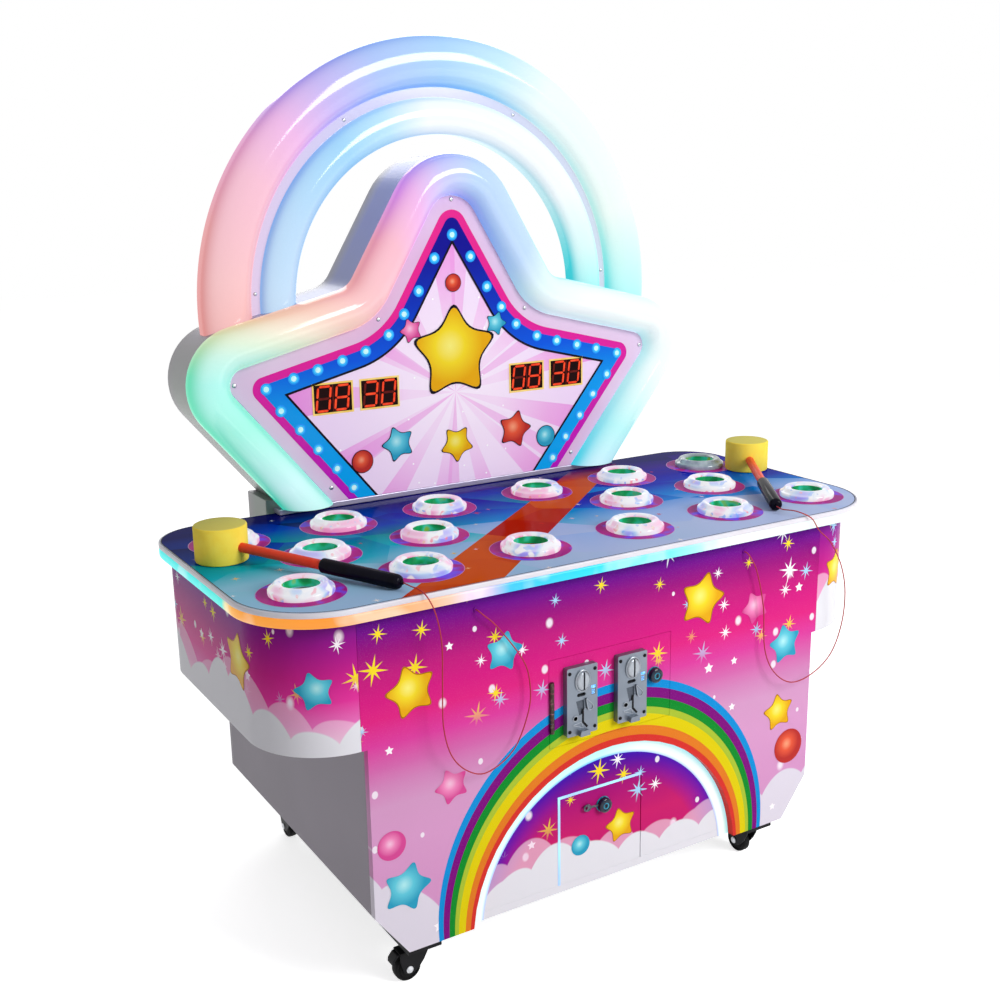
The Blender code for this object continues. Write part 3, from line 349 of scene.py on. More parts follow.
def drawing_place():
    """The point's place in the drawing, split into X, Y and Z."""
    return add("SeparateXYZ", add("TexCoord")["Object"])


def lumps(millimetres, detail=3.0, stretch=(1, 1, 1)):
    """Soft lumps about so many millimetres across."""
    place = add("Mapping", add("TexCoord")["Object"], Scale=stretch)
    return add("TexNoise", Vector=place, Scale=1000 / millimetres, Detail=detail)


def mottled(millimetres, dark, light, detail=3.0, spread=0.2, stretch=(1, 1, 1)):
    """Two shades that take turns over lumps of this size."""
    return add("ValToRGB", lumps(millimetres, detail, stretch),
        stops=[(0.5 - spread, dark), (0.5 + spread, light)])


def relief(millimetres, height, detail=3.0, stretch=(1, 1, 1), strength=0.5):
    """Lumps of this size that raise the surface by so many millimetres."""
    raised = add("Bump", Height=lumps(millimetres, detail, stretch), Strength=strength,
        Distance=height / 1000)
    into(raised, "Normal")


# %% [markdown]
# ## Plain finishes
# Grey boards are melamine-faced particle board: a printed paper under resin, pressed against a
# fine-grained plate, so it is even in colour and has a faint tooth.
# Steel parts are powder coated, whose orange-peel lumps are about a millimetre across.
# Trims are extruded PVC, and the foam is closed-cell, cut from a block, so it shows small pores.

# %% Boards and metals
melamine = start("melamine faced board", Roughness=0.42, IOR=1.5)
shade = mottled(260, "#6e6573", "#7a707f", detail=2)
fleck = add("MapRange", lumps(1.6, 2), 0.55, 0.7, 0.0, 0.35)
into(add("Mix RGBA", fleck, shade, "#7c7381"))
relief(1.6, 0.06, 2)

housing_paint = start("sprayed board with painted lamp glow", Roughness=0.38, IOR=1.5, Coat_Weight=0.15)
spot = drawing_place()
plain = mottled(300, "#9c9aa0", "#a7a5ab", detail=1)
# Painted light: the front part is tinted greenish near the table and lavender-blue up by the arch,
# as the lamps' glow on the grey paint.
height = add("MapRange", spot["Z"], 0.70, 1.42)
painted_lamp_glow = add("ValToRGB", height, stops=[(0.0, "#84968c"), (0.35, "#98a49c"), (0.5, "#a5a3a8"),
    (0.6, "#989dc4"), (0.8, "#8791d6"), (1.0, "#8f9de4")])
painted_glow_share = add("MapRange", spot["Y"], 0.345, 0.305)
into(add("Mix RGBA", painted_glow_share, plain, painted_lamp_glow))
relief(0.9, 0.05, 2)

black_steel = start("black powder coat on steel", Roughness=0.4, IOR=1.22)
into(mottled(30, "#0e0e11", "#17171b"))
relief(1.1, 0.12, 2)

zinc = start("zinc plated steel", Metallic=1.0, Roughness=0.3)
into(mottled(6, "#a9abb0", "#d4d6da", spread=0.15))

die_cast = start("die cast zinc", Metallic=0.75, Roughness=0.42)
into(mottled(60, "#737b86", "#7f8792"))
into(add("MapRange", lumps(0.8), 0.3, 0.7, 0.34, 0.5), "Roughness")
relief(0.8, 0.05)

blasted_zinc_in_shade = start("shot blasted zinc in shade", Metallic=0.6, Roughness=0.55)
into(mottled(3, "#474e58", "#555c67"))

bright_zinc = start("turned and polished zinc", Metallic=0.8, Roughness=0.32)
into(mottled(0.7, "#8a9098", "#a6abb2", detail=2, stretch=(1, 1, 0.06)))

rubber = start("moulded black rubber", Roughness=0.6, IOR=1.2)
into(mottled(9, "#0a0a0b", "#131315"))
relief(1.5, 0.15)

# Black ABS for real black parts, and painted shade for the floors of the acceptors' slots.
black_abs_and_slot_shade = start("black moulded ABS", Roughness=0.4, IOR=1.2)
into(mottled(5, "#08080a", "#121216"))
print("finishes so far", len(bpy.data.materials))

# %% [markdown]
# ## Plastics, foam and cord
# The mallet's tube is coloured PVC and its grip is dipped vinyl, which is why it is so glossy.
# The cords are a thin braided line in a red jacket.

# %% Plastics, foam and cord
foam = start("closed cell foam", Roughness=0.85, IOR=1.4)
pores = add("TexVoronoi", Vector=add("TexCoord")["Object"], Scale=1000 / 1.8)
# Painted shade: the top face is a darker, greyer yellow, and each pore a little darker, as shade in
# its hollow.
face = add("SeparateXYZ", add("NewGeometry")["Normal"])["Z"]
shade = mottled(20, "#ffdf48", "#ffe655")
shade = add("Mix RGBA", add("MapRange", face, 0.8, 0.97, 0.0, 0.85), shade, "#cfc666")
into(add("Mix RGBA", add("MapRange", pores, 0.0, 0.25, 0.12, 0.0), shade, "#b59b2a"))
into(add("Bump", Height=pores, Strength=0.5, Distance=0.25 / 1000), "Normal")

red_tube = start("red PVC tube", Roughness=0.3, IOR=1.24)
into(mottled(40, "#ee3c22", "#fa5030"))
relief(3, 0.05, 2, (1, 1, 0.3))

dipped = start("dipped black vinyl", Roughness=0.12, IOR=1.14)
into(mottled(25, "#0a0812", "#12101f"))
relief(7, 0.12, 1)

braid = start("red braided line", Roughness=0.6, IOR=1.5)
strands = add("TexWave", Vector=add("TexCoord")["Object"], Scale=1000 / 3.0,
    bands_direction="DIAGONAL")
into(add("ValToRGB", strands[1], stops=[(0.2, "#8e1420"), (0.8, "#c22c34")]))
into(add("Bump", Height=strands[1], Strength=0.5, Distance=0.1 / 1000), "Normal")

white_pvc = start("extruded white PVC", Roughness=0.3, IOR=1.53)
into(mottled(120, "#d9d2da", "#e2e2ec", detail=2))
relief(2.5, 0.03, 1, (0.2, 0.2, 1))

rail_metal = start("anodised aluminium rail", Metallic=0.7, Roughness=0.35)
into(mottled(1.2, "#a8a2b8", "#c8c4d6", detail=2, stretch=(0.03, 1, 1)))
print("finishes so far", len(bpy.data.materials))

# %% [markdown]
# ## Cords
# Each mallet is held by a thin cord, so that it can't be carried off. It leaves a small eyelet in
# the front board, hangs in a long loop, and goes over the table's edge into the end of the grip.
# The route's points are smoothed into one curve, and a round section is swept along it.

# %% Cords
cord_radius = 0.0011
heads = {"left": ((-0.585, 0.002529, 0.7283), (0.4911, -0.8711)),
         "right": ((0.6025, 0.009529, 0.7283), (-0.5458, -0.8379))}
grip_end, grip_start, axis_height, grip_radius = 0.367, 0.215, 0.03, 0.0125
eyelets = {"left": (-0.278, 0.675), "right": (0.297, 0.675)}
routes = {
    "left": [
        (-.3970, -.3390, .7385), (-.3915, -.3500, .7365), (-.3835, -.3625, .7260),
        (-.3700, -.3640, .6950), (-.3605, -.3630, .6450), (-.3600, -.3610, .5800),
        (-.3590, -.3580, .5000), (-.3420, -.3540, .4410), (-.3080, -.3510, .4040),
        (-.2700, -.3490, .3940), (-.2180, -.3450, .4200), (-.1870, -.3420, .4800),
        (-.1830, -.3410, .5280), (-.1960, -.3400, .5740), (-.2430, -.3390, .6400),
        (-.2690, -.3400, .6660)],
    "right": [
        (.3990, -.3190, .7385), (.4100, -.3440, .7385), (.4300, -.3625, .7265),
        (.4500, -.3640, .7000), (.4830, -.3640, .6700), (.5150, -.3630, .6180),
        (.5310, -.3610, .5600), (.5290, -.3580, .4950), (.5060, -.3550, .4370),
        (.4600, -.3520, .4040), (.4080, -.3500, .3980), (.3660, -.3460, .4280),
        (.3443, -.3420, .4790), (.3390, -.3405, .5600), (.3210, -.3400, .6320),
        (.3040, -.3400, .6640)]}


def mallet_point(side, distance):
    """A point on a mallet's own axis, this far from the middle of its head."""
    (x, y, z), (dx, dy) = heads[side]
    slope = (grip_radius - axis_height) / grip_end
    return Vector((x + dx * distance, y + dy * distance, z + axis_height + slope * distance))


def smooth_route(points, steps):
    """A smooth curve through the points, with its first and last runs straight."""
    smooth = [points[0]]
    for a, b, c, d in zip(points, points[1:], points[2:], points[3:]):
        for k in range(steps):
            t = k / steps
            smooth.append([0.5 * (2 * q + (r - p) * t + (2 * p - 5 * q + 4 * r - s) * t * t
                + (3 * q - p - 3 * r + s) * t ** 3) for p, q, r, s in zip(a, b, c, d)])
    return [Vector(p) for p in smooth + [points[-2], points[-1]]]


cords = {}
for side in ("left", "right"):
    tip, near = mallet_point(side, grip_end), mallet_point(side, grip_start)
    away = (tip - near).normalized()
    x, z = eyelets[side]
    face = front_y - 0.0015
    points = [tip + away * 0.0003, tip + away * 0.006, *routes[side], (x, face - 0.006, z),
        (x, face - 0.0003, z)]
    path = smooth_route([tuple(p) for p in points], 5)[::-1]
    curve = bpy.data.curves.new("cord", "CURVE")
    curve.dimensions, curve.bevel_depth, curve.bevel_resolution = "3D", cord_radius, 3
    curve.use_fill_caps = True
    spline = curve.splines.new("POLY")
    spline.points.add(len(path) - 1)
    for knot, point in zip(spline.points, path):
        knot.co = (*point, 1)
    tube = placed("cord", curve)
    bpy.context.view_layer.update()
    graph = bpy.context.evaluated_depsgraph_get()
    mesh = bpy.data.meshes.new_from_object(tube.evaluated_get(graph))
    bpy.data.objects.remove(tube)
    cord = placed("mallet_cord_" + side, mesh)
    mesh.materials.clear()
    mesh.materials.append(braid)
    mesh.shade_smooth()
    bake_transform(cord)
    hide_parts("cord_" + side)
    length = sum((b - a).length for a, b in zip(path, path[1:]))
    cords[side] = (cord, path, length)
    print("cord", side, "length", round(length, 3), "m")

# %% [markdown]
# ## Mallets
# The head is a short foam cylinder, soft enough to hit a child's fingers. A tube goes into its
# side, and a dipped grip with a rounded end covers the tube's other half. The cord leaves the
# grip's end through a small moulded ferrule. The head is turned about its upright axis, and the
# handle about the tube's own axis.

# %% Mallets
for side in ("left", "right"):
    head, body = heads[side][0], "mallet_" + side
    bm = bmesh.new()
    radius, height, soft = 0.0455, 0.064, 0.003
    profile = [(0.001, 0.0004), (radius - soft, 0.0004), (radius - 0.001, 0.0012),
        (radius, soft + 0.0004), (radius, height - soft), (radius - 0.001, height - 0.001),
        (radius - soft, height), (0.001, height)]
    add_turned(bm, profile, head, sides=64)
    block = piece("mallet_head_" + side, bm, body, foam)
    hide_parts("mallet_%s_head" % side)
    axis = (mallet_point(side, 1) - mallet_point(side, 0)).normalized()
    turn = axis.to_track_quat("Z", "Y").to_matrix()
    bm = bmesh.new()
    add_turned(bm, [(0.0085, radius - 0.006), (0.0085, grip_start + 0.004)], mallet_point(side, 0),
        sides=32, frame_of=turn)
    tube = piece("mallet_tube_" + side, bm, body, red_tube)
    bm = bmesh.new()
    r, a, b = grip_radius, grip_start, grip_end
    add_turned(bm, [(0.0086, a - 0.001), (r - 0.0016, a - 0.001), (r - 0.0003, a + 0.0006),
        (r, a + 0.003), (r, b - 0.010), (r - 0.0006, b - 0.006), (r - 0.0025, b - 0.002),
        (r - 0.0055, b - 0.0004), (0.0022, b), (0.0016, b - 0.001)], mallet_point(side, 0),
        sides=40, frame_of=turn)
    piece("mallet_grip_" + side, bm, body, dipped)
    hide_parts("mallet_%s_handle" % side)
    bm = bmesh.new()
    add_turned(bm, [(0.0014, b - 0.0006), (0.0034, b - 0.0006), (0.0034, b + 0.0016),
        (0.0026, b + 0.0044), (0.0014, b + 0.0048), (0.0014, b - 0.0006)], mallet_point(side, 0),
        sides=24, frame_of=turn)
    ferrule = piece("mallet_ferrule_" + side, bm, body, dipped)
    cord, path, length = cords[side]
print("mallets", 2)

# %% [markdown]
# ## Printed film
# The body is covered with a vinyl film, printed by an ink-jet printer and laminated with a gloss
# layer. The print is a fade from violet through magenta to pale pink, with sparkles, dots, plain
# stars and clouds. All of it is drawn from Object coordinates. The skirts' print runs round both of
# their corners, so its sideways coordinate is unrolled: x along the front, then depth along the
# side wall, and x again along the back.

# %% Patterns of the print
def print_place(round_corner):
    """The print's own (u, v) plane on a wall: u along it, v up."""
    spot = drawing_place()
    u = spot["X"]
    if round_corner:
        out = add("SUBTRACT", add("ABSOLUTE", u), skirt_half)
        ahead = add("MULTIPLY", add("SIGN", spot["Y"]), -1.0)
        along = add("ADD", spot["Y"], skirt_half)
        u = add("MULTIPLY_ADD", out, ahead, along)
    return add("CombineXYZ", u, spot["Z"]), u, spot["Z"]


def scattered(flat, spacing, shift):
    """Cells this far apart: the place inside each cell, in metres, and three random numbers."""
    grid = add("VectorMath ADD", flat, (shift, shift * 1.7, 0))
    cell = add("TexVoronoi", Vector=grid, Scale=1 / spacing, Randomness=0.75,
        voronoi_dimensions="2D")
    inside = add("VectorMath SUBTRACT", grid, cell["Position"])
    return inside, add("SeparateColor", cell["Color"])


def sparkle(inside, radius):
    """A spark of eight thin rays, four of them longer, that narrow to points."""
    sides = add("SeparateXYZ", inside)
    angle = add("ARCTAN2", sides["Y"], sides["X"])
    angle = add("ADD", angle, math.radians(10))
    reach = add("VectorMath LENGTH", inside)
    fold = add("WRAP", angle, math.pi / 8, -math.pi / 8)
    aside = add("MULTIPLY", add("ABSOLUTE", fold), reach)
    wave = add("COSINE", add("MULTIPLY", angle, 4.0))
    share = add("MapRange", wave, -1.0, 1.0, 0.80, 1.0)
    length = add("MULTIPLY", radius, share)
    room = add("MULTIPLY", add("SUBTRACT", length, reach), 0.13)
    spare = add("SUBTRACT", room, aside)
    return add("MapRange", spare, 0.0, 0.0003)


def small_star(inside, radius, notch=0.5):
    """A plain five-pointed star: a straight edge from tip to notch, folded ten times."""
    sides = add("SeparateXYZ", inside)
    angle = add("ARCTAN2", sides["X"], sides["Y"])
    fold = add("WRAP", angle, math.pi / 5, -math.pi / 5)
    fold = add("ABSOLUTE", fold)
    reach = add("VectorMath LENGTH", inside)
    tip = Vector((1, 0))
    low = Vector((notch * math.cos(math.pi / 5), notch * math.sin(math.pi / 5)))
    edge = low - tip
    normal = Vector((edge.y, -edge.x)).normalized()
    along = add("MULTIPLY", add("COSINE", fold), normal.x)
    across = add("MULTIPLY", add("SINE", fold), normal.y)
    wide = add("MULTIPLY", add("ADD", along, across), reach)
    limit = add("MULTIPLY", radius, normal.dot(tip))
    return add("LESS_THAN", wide, limit)


def puffs(u, v, base, size, shift):
    """A mask of clouds that fills below a line of round puffs."""
    half = size * 0.5
    along = add("ADD", u, shift)
    lump = add("TexNoise", Vector=add("CombineXYZ", add("MULTIPLY", along, 4.0), shift), Scale=1.0,
        Detail=0.0)
    rise = add("MapRange", lump, 0.3, 0.7, -0.4 * size, 0.5 * size)
    place = add("WRAP", along, half * 0.8, -half * 0.8)
    bow = add("SUBTRACT", half * half, add("MULTIPLY", place, place))
    top = add("ADD", add("SQRT", bow), rise)
    above = add("SUBTRACT", v, top)
    return add("MapRange", above, base + 0.0015, base - 0.0015)


def decorate(shade, flat, v, sparkle_low, density, shift):
    """Dots, sparkles and small stars over a print's ground."""
    inside, luck = scattered(flat, 0.105, shift + 3.1)
    oval = add("VectorMath MULTIPLY", inside, (1.25, 1.0, 1.0))
    reach = add("VectorMath LENGTH", oval)
    size = add("MapRange", luck[0], 0.0, 1.0, 0.004, 0.014)
    core = add("MULTIPLY", size, add("MapRange", luck[0], 0.2, 0.9, 0.9, 0.35))
    haze = add("MapRange", reach, size, core)
    keep = add("MULTIPLY", haze, add("MapRange", luck[1], 0.62, 0.63, 0.9, 0.0))
    shade = add("Mix RGBA", keep, shade, "#f3eaf4")
    for spacing, extra in ((0.072, 0.0), (0.098, 5.7)):
        inside, luck = scattered(flat, spacing, shift + extra)
        size = add("MapRange", luck[0], 0.0, 1.0, 0.18 * spacing, 0.29 * spacing)
        spark = sparkle(inside, size)
        few = add("MULTIPLY", add("MapRange", luck[1], density, density + 0.01, 1.0, 0.0),
            add("MapRange", v, sparkle_low, sparkle_low + 0.05))
        tint = add("ValToRGB", luck[2], stops=[(0.0, "#f7dd2b"), (0.36, "#fbf7ff"),
            (0.68, "#a8d4f6")], hard=True)
        shade = add("Mix RGBA", add("MULTIPLY", spark, few), shade, tint)
    inside, luck = scattered(flat, 0.12, shift + 9.2)
    star = small_star(inside, add("MapRange", luck[0], 0.0, 1.0, 0.008, 0.012))
    shade = add("Mix RGBA", add("MULTIPLY", star, add("MapRange", luck[1], 0.5, 0.51, 1.0, 0.0)),
        shade, "#fdf6fb")
    return shade


def faded(v, fade):
    """A fade up a board, whose stops are heights in the drawing."""
    low, high = fade[0][0], fade[-1][0]
    stops = [((z - low) / (high - low), shade) for z, shade in fade]
    return add("ValToRGB", add("MapRange", v, low, high), stops=stops)


def bare_inside(ground):
    """The print on a board's outer face, and bare fibre board on its inner one."""
    inward = add("MapRange", add("SeparateXYZ", add("TexCoord")["Normal"])["Y"], 0.4, 0.6)
    bare = mottled(3, "#a5865c", "#b8996c", spread=0.15)
    return add("Mix RGBA", inward, ground, bare)


def laminate():
    """The gloss layer over a print, with the faint waves of a film laid on board."""
    set_shader(Roughness=0.24, IOR=1.1)
    relief(45, 0.08, 1, strength=0.3)


# %% [markdown]
# ## Front print with its rainbow
# The rainbow's outer edge and the light band below it are circles with different centres, so each
# stripe is a share of the way from one circle to the other. The same finish goes on the coin door,
# and the stripes run on across its seam.

# %% Front print
front_print = start("printed vinyl film on the front", IOR=1.5)
flat, u, v = print_place(False)
fade = [(0.093, "#d290c2"), (0.30, "#d79ac8"), (0.37, "#d399c4"), (0.41, "#d184b9"),
    (0.44, "#d268ac"), (0.48, "#d93f9d"), (0.525, "#dc2581"), (0.56, "#d21c80"), (0.60, "#bf1d7c"),
    (0.64, "#99137b"), (0.675, "#700d87"), (0.7054, "#45088e")]
ground = faded(v, fade)
mist = puffs(u, v, 0.150, 0.13, 0.31)
ground = add("Mix RGBA", add("MULTIPLY", mist, 0.85), ground, "#dfe0e9")
ground = decorate(ground, flat, v, 0.47, 0.62, 0.13)
circles = ((0.118, 0.3635), (band_centre, band_outer))
gaps = []
for (height_of, radius), sign in zip(circles, (-1, 1)):
    reach = add("VectorMath DISTANCE", flat, (0, height_of, 0))
    gaps.append(add("ADD", add("MULTIPLY", reach, sign), -sign * radius))
share = add("DIVIDE", gaps[0], add("ADD", gaps[0], gaps[1]))
stripes = add("ValToRGB", share, stops=[(0.0, "#118ed6"), (0.129, "#7d0d7c"), (0.294, "#0e8a2c"),
    (0.4415, "#a9c036"), (0.553, "#dfcc0c"), (0.740, "#e17b24"), (0.887, "#d6332d")], hard=True)
on_rainbow = add("MULTIPLY", add("GREATER_THAN", gaps[0], 0.0), add("GREATER_THAN", gaps[1], -0.02))
ground = add("Mix RGBA", on_rainbow, ground, stripes)
ink = lumps(1.2, 1)
ground = add("Mix RGBA", add("MapRange", ink, 0.6, 0.8, 0.0, 0.08), ground, "#ffffff")
into(bare_inside(ground))
laminate()

# %% [markdown]
# ## Skirt and recess prints
# The skirts and the recessed board carry the same print in other cuts, each with its own clouds.

# %% Skirt and recess prints
def print_cut(name, fade, cloud, cloud_size, shift, sparkle_low, density, round_corner):
    """A cut of the print: its fade, clouds and sparkles, and on a flat board the band's painted
    glow.
    """
    made = start(name, IOR=1.5)
    flat, u, v = print_place(round_corner)
    ground = faded(v, fade)
    if not round_corner:
        # Painted light: near the light band the board is tinted blue-violet, as the band's glow on
        # it.
        reach = add("VectorMath DISTANCE", flat, (0, band_centre, 0))
        painted_lamp_glow = add("MapRange", reach, 0.215, 0.275, 0.0, 0.95)
        ground = add("Mix RGBA", painted_lamp_glow, ground, "#2f17b4")
    ground = decorate(ground, flat, v, sparkle_low, density, shift + 0.4)
    soft = puffs(u, v, cloud + 0.014, cloud_size, shift + 0.05)
    ground = add("Mix RGBA", add("MULTIPLY", soft, 0.55), ground, "#f1c9e2")
    ground = add("Mix RGBA", puffs(u, v, cloud, cloud_size, shift), ground, "#e4e3ea")
    into(ground if round_corner else bare_inside(ground))
    laminate()
    return made


skirt_fade = [(0.4786, "#e3dfe3"), (0.53, "#e572bb"), (0.57, "#e0379a"), (0.61, "#c8248a"),
    (0.66, "#9a1a8a"), (0.7054, "#5a1a92")]
left_print = print_cut("printed vinyl film on the left skirt", skirt_fade, 0.497, 0.130, 0.37, 0.56,
    0.72, True)
right_print = print_cut("printed vinyl film on the right skirt", skirt_fade, 0.460, 0.130, 1.864,
    0.55, 0.72, True)
recess_print = print_cut("printed vinyl film in the recess", [(0.10, "#c41c72"), (0.20, "#c9216b"),
    (0.27, "#a81575"), (0.32, "#790f71"), (0.37, "#3d0a78")], 0.145, 0.120, 2.71, 0.2, 0.62, False)
print("prints", 4)

# %% [markdown]
# ## Cabinet boards
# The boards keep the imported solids, which already have the real thickness. A small bevel stands
# for the edge band, and every board gets its film or its melamine face.

# %% Cabinet boards
def dress(finish, *nodes, bevel=0.0008):
    """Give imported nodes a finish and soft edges."""
    for name in nodes:
        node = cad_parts[name]
        node.data.materials.clear()
        node.data.materials.append(finish)
        soften(node, bevel)


dress(melamine, "side_panel_left", "side_panel_right", "mole_bed")
dress(front_print, "front_panel", "coin_door", bevel=0.0004)
dress(recess_print, "inner_panel", "cash_door", "base_board", bevel=0.0004)
dress(black_steel, "base_frame", "control_box", bevel=0.001)
board_core = start("bare particle board", Roughness=0.8)
into(mottled(2.5, "#a08a66", "#c2ab85", spread=0.15))
relief(2.5, 0.2, 3)
dress(board_core, "table_deck", bevel=0.0)


def skirt_outline(side, inset, steps=20):
    """The skirt's edge from the front seam round both corners to the back wall."""
    back_radius = 0.08
    centre = (front_half + seam, front_y + skirt_radius)
    points = [(centre[0], front_y + inset)] + arc(centre, skirt_radius - inset, 270, 360, steps)[1:]
    centre = (skirt_half - back_radius, back_y - back_radius)
    points += arc(centre, back_radius - inset, 0, 90, steps)
    points.append((body_half + seam, back_y - inset))
    return [(side * x, y) for x, y in points]


for name, side, finish in (("left", -1, left_print), ("right", 1, right_print)):
    bm = bmesh.new()
    outer, inner = skirt_outline(side, 0.0), skirt_outline(side, 0.012)
    section = ((outer, skirt_bottom), (outer, body_top), (inner, body_top), (inner, skirt_bottom))
    add_lanes(bm, [[(x, y, z) for x, y in path] for path, z in section], ring=False)
    add_prism(bm, skirt_outline(side, 0.0118) + [(side * (body_half + seam), recess_y),
              (side * (front_half + seam), recess_y)], "Z",
              skirt_bottom + 0.0004, skirt_bottom + 0.012)
    skirt = piece("skirt_" + name + "_shell", bm, "cabinet", finish, 0.0006)
    bm = bmesh.new()
    add_box(bm, (side * 0.4105, side * 0.4815), (back_y - 0.012, back_y), (0.6405, body_top))
    piece("skirt_" + name + "_rear_wall", bm, "cabinet", melamine, 0.0006)
    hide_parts("skirt_" + name)
print("boards dressed")

# %% [markdown]
# ## Lit plastics
# The tubes and bands are opal acrylic with coloured diodes behind. Light leaves them through the
# whole surface, so each gets an even base colour and a little of the same colour as emission.
# A tube's middle is paler and its edges deeper in colour: painted shade that shows its round form.

# %% Lit plastics
def lit(tint, glow=0.6, rough=0.22, axis=None, deep=None):
    """An opal plastic that shines in its own colour, with painted shade deeper where its wall turns
    off the axis.
    """
    if axis:
        turned = add("ABSOLUTE", add("SeparateXYZ", add("TexCoord")["Normal"])[axis])
        edge = add("MapRange", turned, 0.98, 0.1, interpolation_type="SMOOTHSTEP")
        if deep is None:
            deep = add("HueSaturation", Saturation=1.8, Value=0.92, Color=tint)
        tint = add("Mix RGBA", edge, tint, deep)
    into(add("Mix RGBA", 0.66, tint, (0, 0, 0, 1)))
    into(tint, "Emission Color")
    set_shader(Emission_Strength=glow, Roughness=rough)


def turned_about(height):
    """The way round a centre on the middle line, as a share of a turn, and the distance to it."""
    spot = drawing_place()
    rise = add("ADD", spot["Z"], -height)
    angle = add("ARCTAN2", spot["X"], rise)
    share = add("MapRange", angle, -math.pi, math.pi)
    return share, add("VectorMath LENGTH", add("CombineXYZ", spot["X"], rise))


arch_glow = start("opal acrylic of the light arch", IOR=1.49)
share, reach = turned_about(arch_centre)
outer_tint = add("ValToRGB", share, stops=[
    (0.20, "#f8b4ae"), (0.27, "#fcc8cb"), (0.335, "#fbc4d8"), (0.375, "#f3bcec"), (0.41, "#cbbcf8"),
    (0.45, "#b0c9fd"), (0.50, "#aed8ff"), (0.545, "#c6edff"), (0.585, "#effdfd"), (0.69, "#f2fff9"),
    (0.73, "#d2fefa"), (0.77, "#a6fbfb"), (0.81, "#86f2f5")])
# The edge-shade ramps are painted shade: the colours the tubes take towards their edges.
outer_edge_shade = add("ValToRGB", share, stops=[(0.20, "#ec857b"), (0.30, "#f09a9e"), (0.355, "#e48fc8"),
    (0.395, "#a080ee"), (0.44, "#4f86f0"), (0.50, "#3f98f4"), (0.545, "#74c4fa"), (0.60, "#cdf4f8"),
    (0.69, "#c4f6ee"), (0.75, "#58edec"), (0.80, "#16dfe6")])
inner_tint = add("ValToRGB", share, stops=[
    (0.22, "#cde7ff"), (0.32, "#bfe1fe"), (0.40, "#a4dbfe"), (0.445, "#bfeafe"), (0.485, "#f7feff"),
    (0.65, "#f8feff"), (0.71, "#dcfdfb"), (0.755, "#9ff8f7"), (0.80, "#52ecec")])
inner_edge_shade = add("ValToRGB", share, stops=[
    (0.22, "#8dbff6"), (0.36, "#79b4f4"), (0.455, "#9bd2fb"), (0.51, "#d2ecfa"), (0.65, "#bff4f6"),
    (0.72, "#3ee6ea"), (0.80, "#0bd9e0")])
outside = add("MapRange", reach, 0.397, 0.400)
tint = add("Mix RGBA", outside, inner_tint, outer_tint)
deep = add("Mix RGBA", outside, inner_edge_shade, outer_edge_shade)
groove = add("MULTIPLY", add("MapRange", reach, 0.3865, 0.3895),
    add("MapRange", reach, 0.4085, 0.4055))
groove_tint = add("ValToRGB", share, stops=[(0.25, "#e3cdea"), (0.45, "#cdcdf0"), (0.7, "#d0d9ea")])
tint = add("Mix RGBA", groove, tint, groove_tint)
lit(tint, 0.64, rough=0.1, axis="Y", deep=deep)

star_glow = start("opal acrylic of the star tube", IOR=1.49)
share = turned_about(star_centre)[0]
tint = add("ValToRGB", share, stops=[(0.12, "#bff7ee"), (0.17, "#cffdfc"), (0.22, "#a9fce9"),
    (0.25, "#b2fbf0"), (0.264, "#ccf9ec"), (0.274, "#e3f5dc"), (0.286, "#f9edd8"),
    (0.305, "#fbd6c8"), (0.335, "#fcc8ca"), (0.41, "#fcbfd0"), (0.452, "#f4b9ee"),
    (0.485, "#cbccfc"), (0.515, "#bcd8fd"), (0.60, "#c2deff"), (0.65, "#e2f9fb"), (0.70, "#f7fdfe"),
    (0.77, "#f3fffe"), (0.82, "#bcfbfb"), (0.87, "#ccf0fe")])
# deep is painted shade: the colours the tube takes towards its edges.
deep = add("ValToRGB", share, stops=[(0.13, "#3fe0c4"), (0.22, "#22e6b8"), (0.255, "#5ae8b8"),
    (0.276, "#cfe0ae"), (0.295, "#f0bc98"), (0.33, "#f0a09c"), (0.40, "#ee94ac"),
    (0.445, "#dc86ea"), (0.485, "#8f98f4"), (0.55, "#86b2f6"), (0.64, "#b0e0f4"), (0.70, "#ccf0f6"),
    (0.78, "#b8f4f6"), (0.86, "#36def2")])
lit(tint, 0.68, rough=0.1, axis="Y", deep=deep)

band_glow = start("opal acrylic of the recess band", IOR=1.49)
share, reach = turned_about(band_centre)
across = add("ValToRGB", add("MapRange", reach, band_inner, band_outer),
    stops=[(0.0, "#5f78f4"), (0.10, "#a9ccff"), (0.22, "#f6ffff"), (0.62, "#e6ffff"),
    (0.85, "#7ff6ff"), (1.0, "#38e6ff")])
along = add("ValToRGB", share, stops=[(0.25, "#f6ffff"), (0.35, "#d2fdff"), (0.43, "#9af8ff"),
    (0.49, "#5ceeff"), (0.54, "#e8ffff"), (0.70, "#ffffff"), (0.75, "#f6fde8")])
tint = add("Mix RGBA", 0.45, across, along)
lit(tint, 0.74)

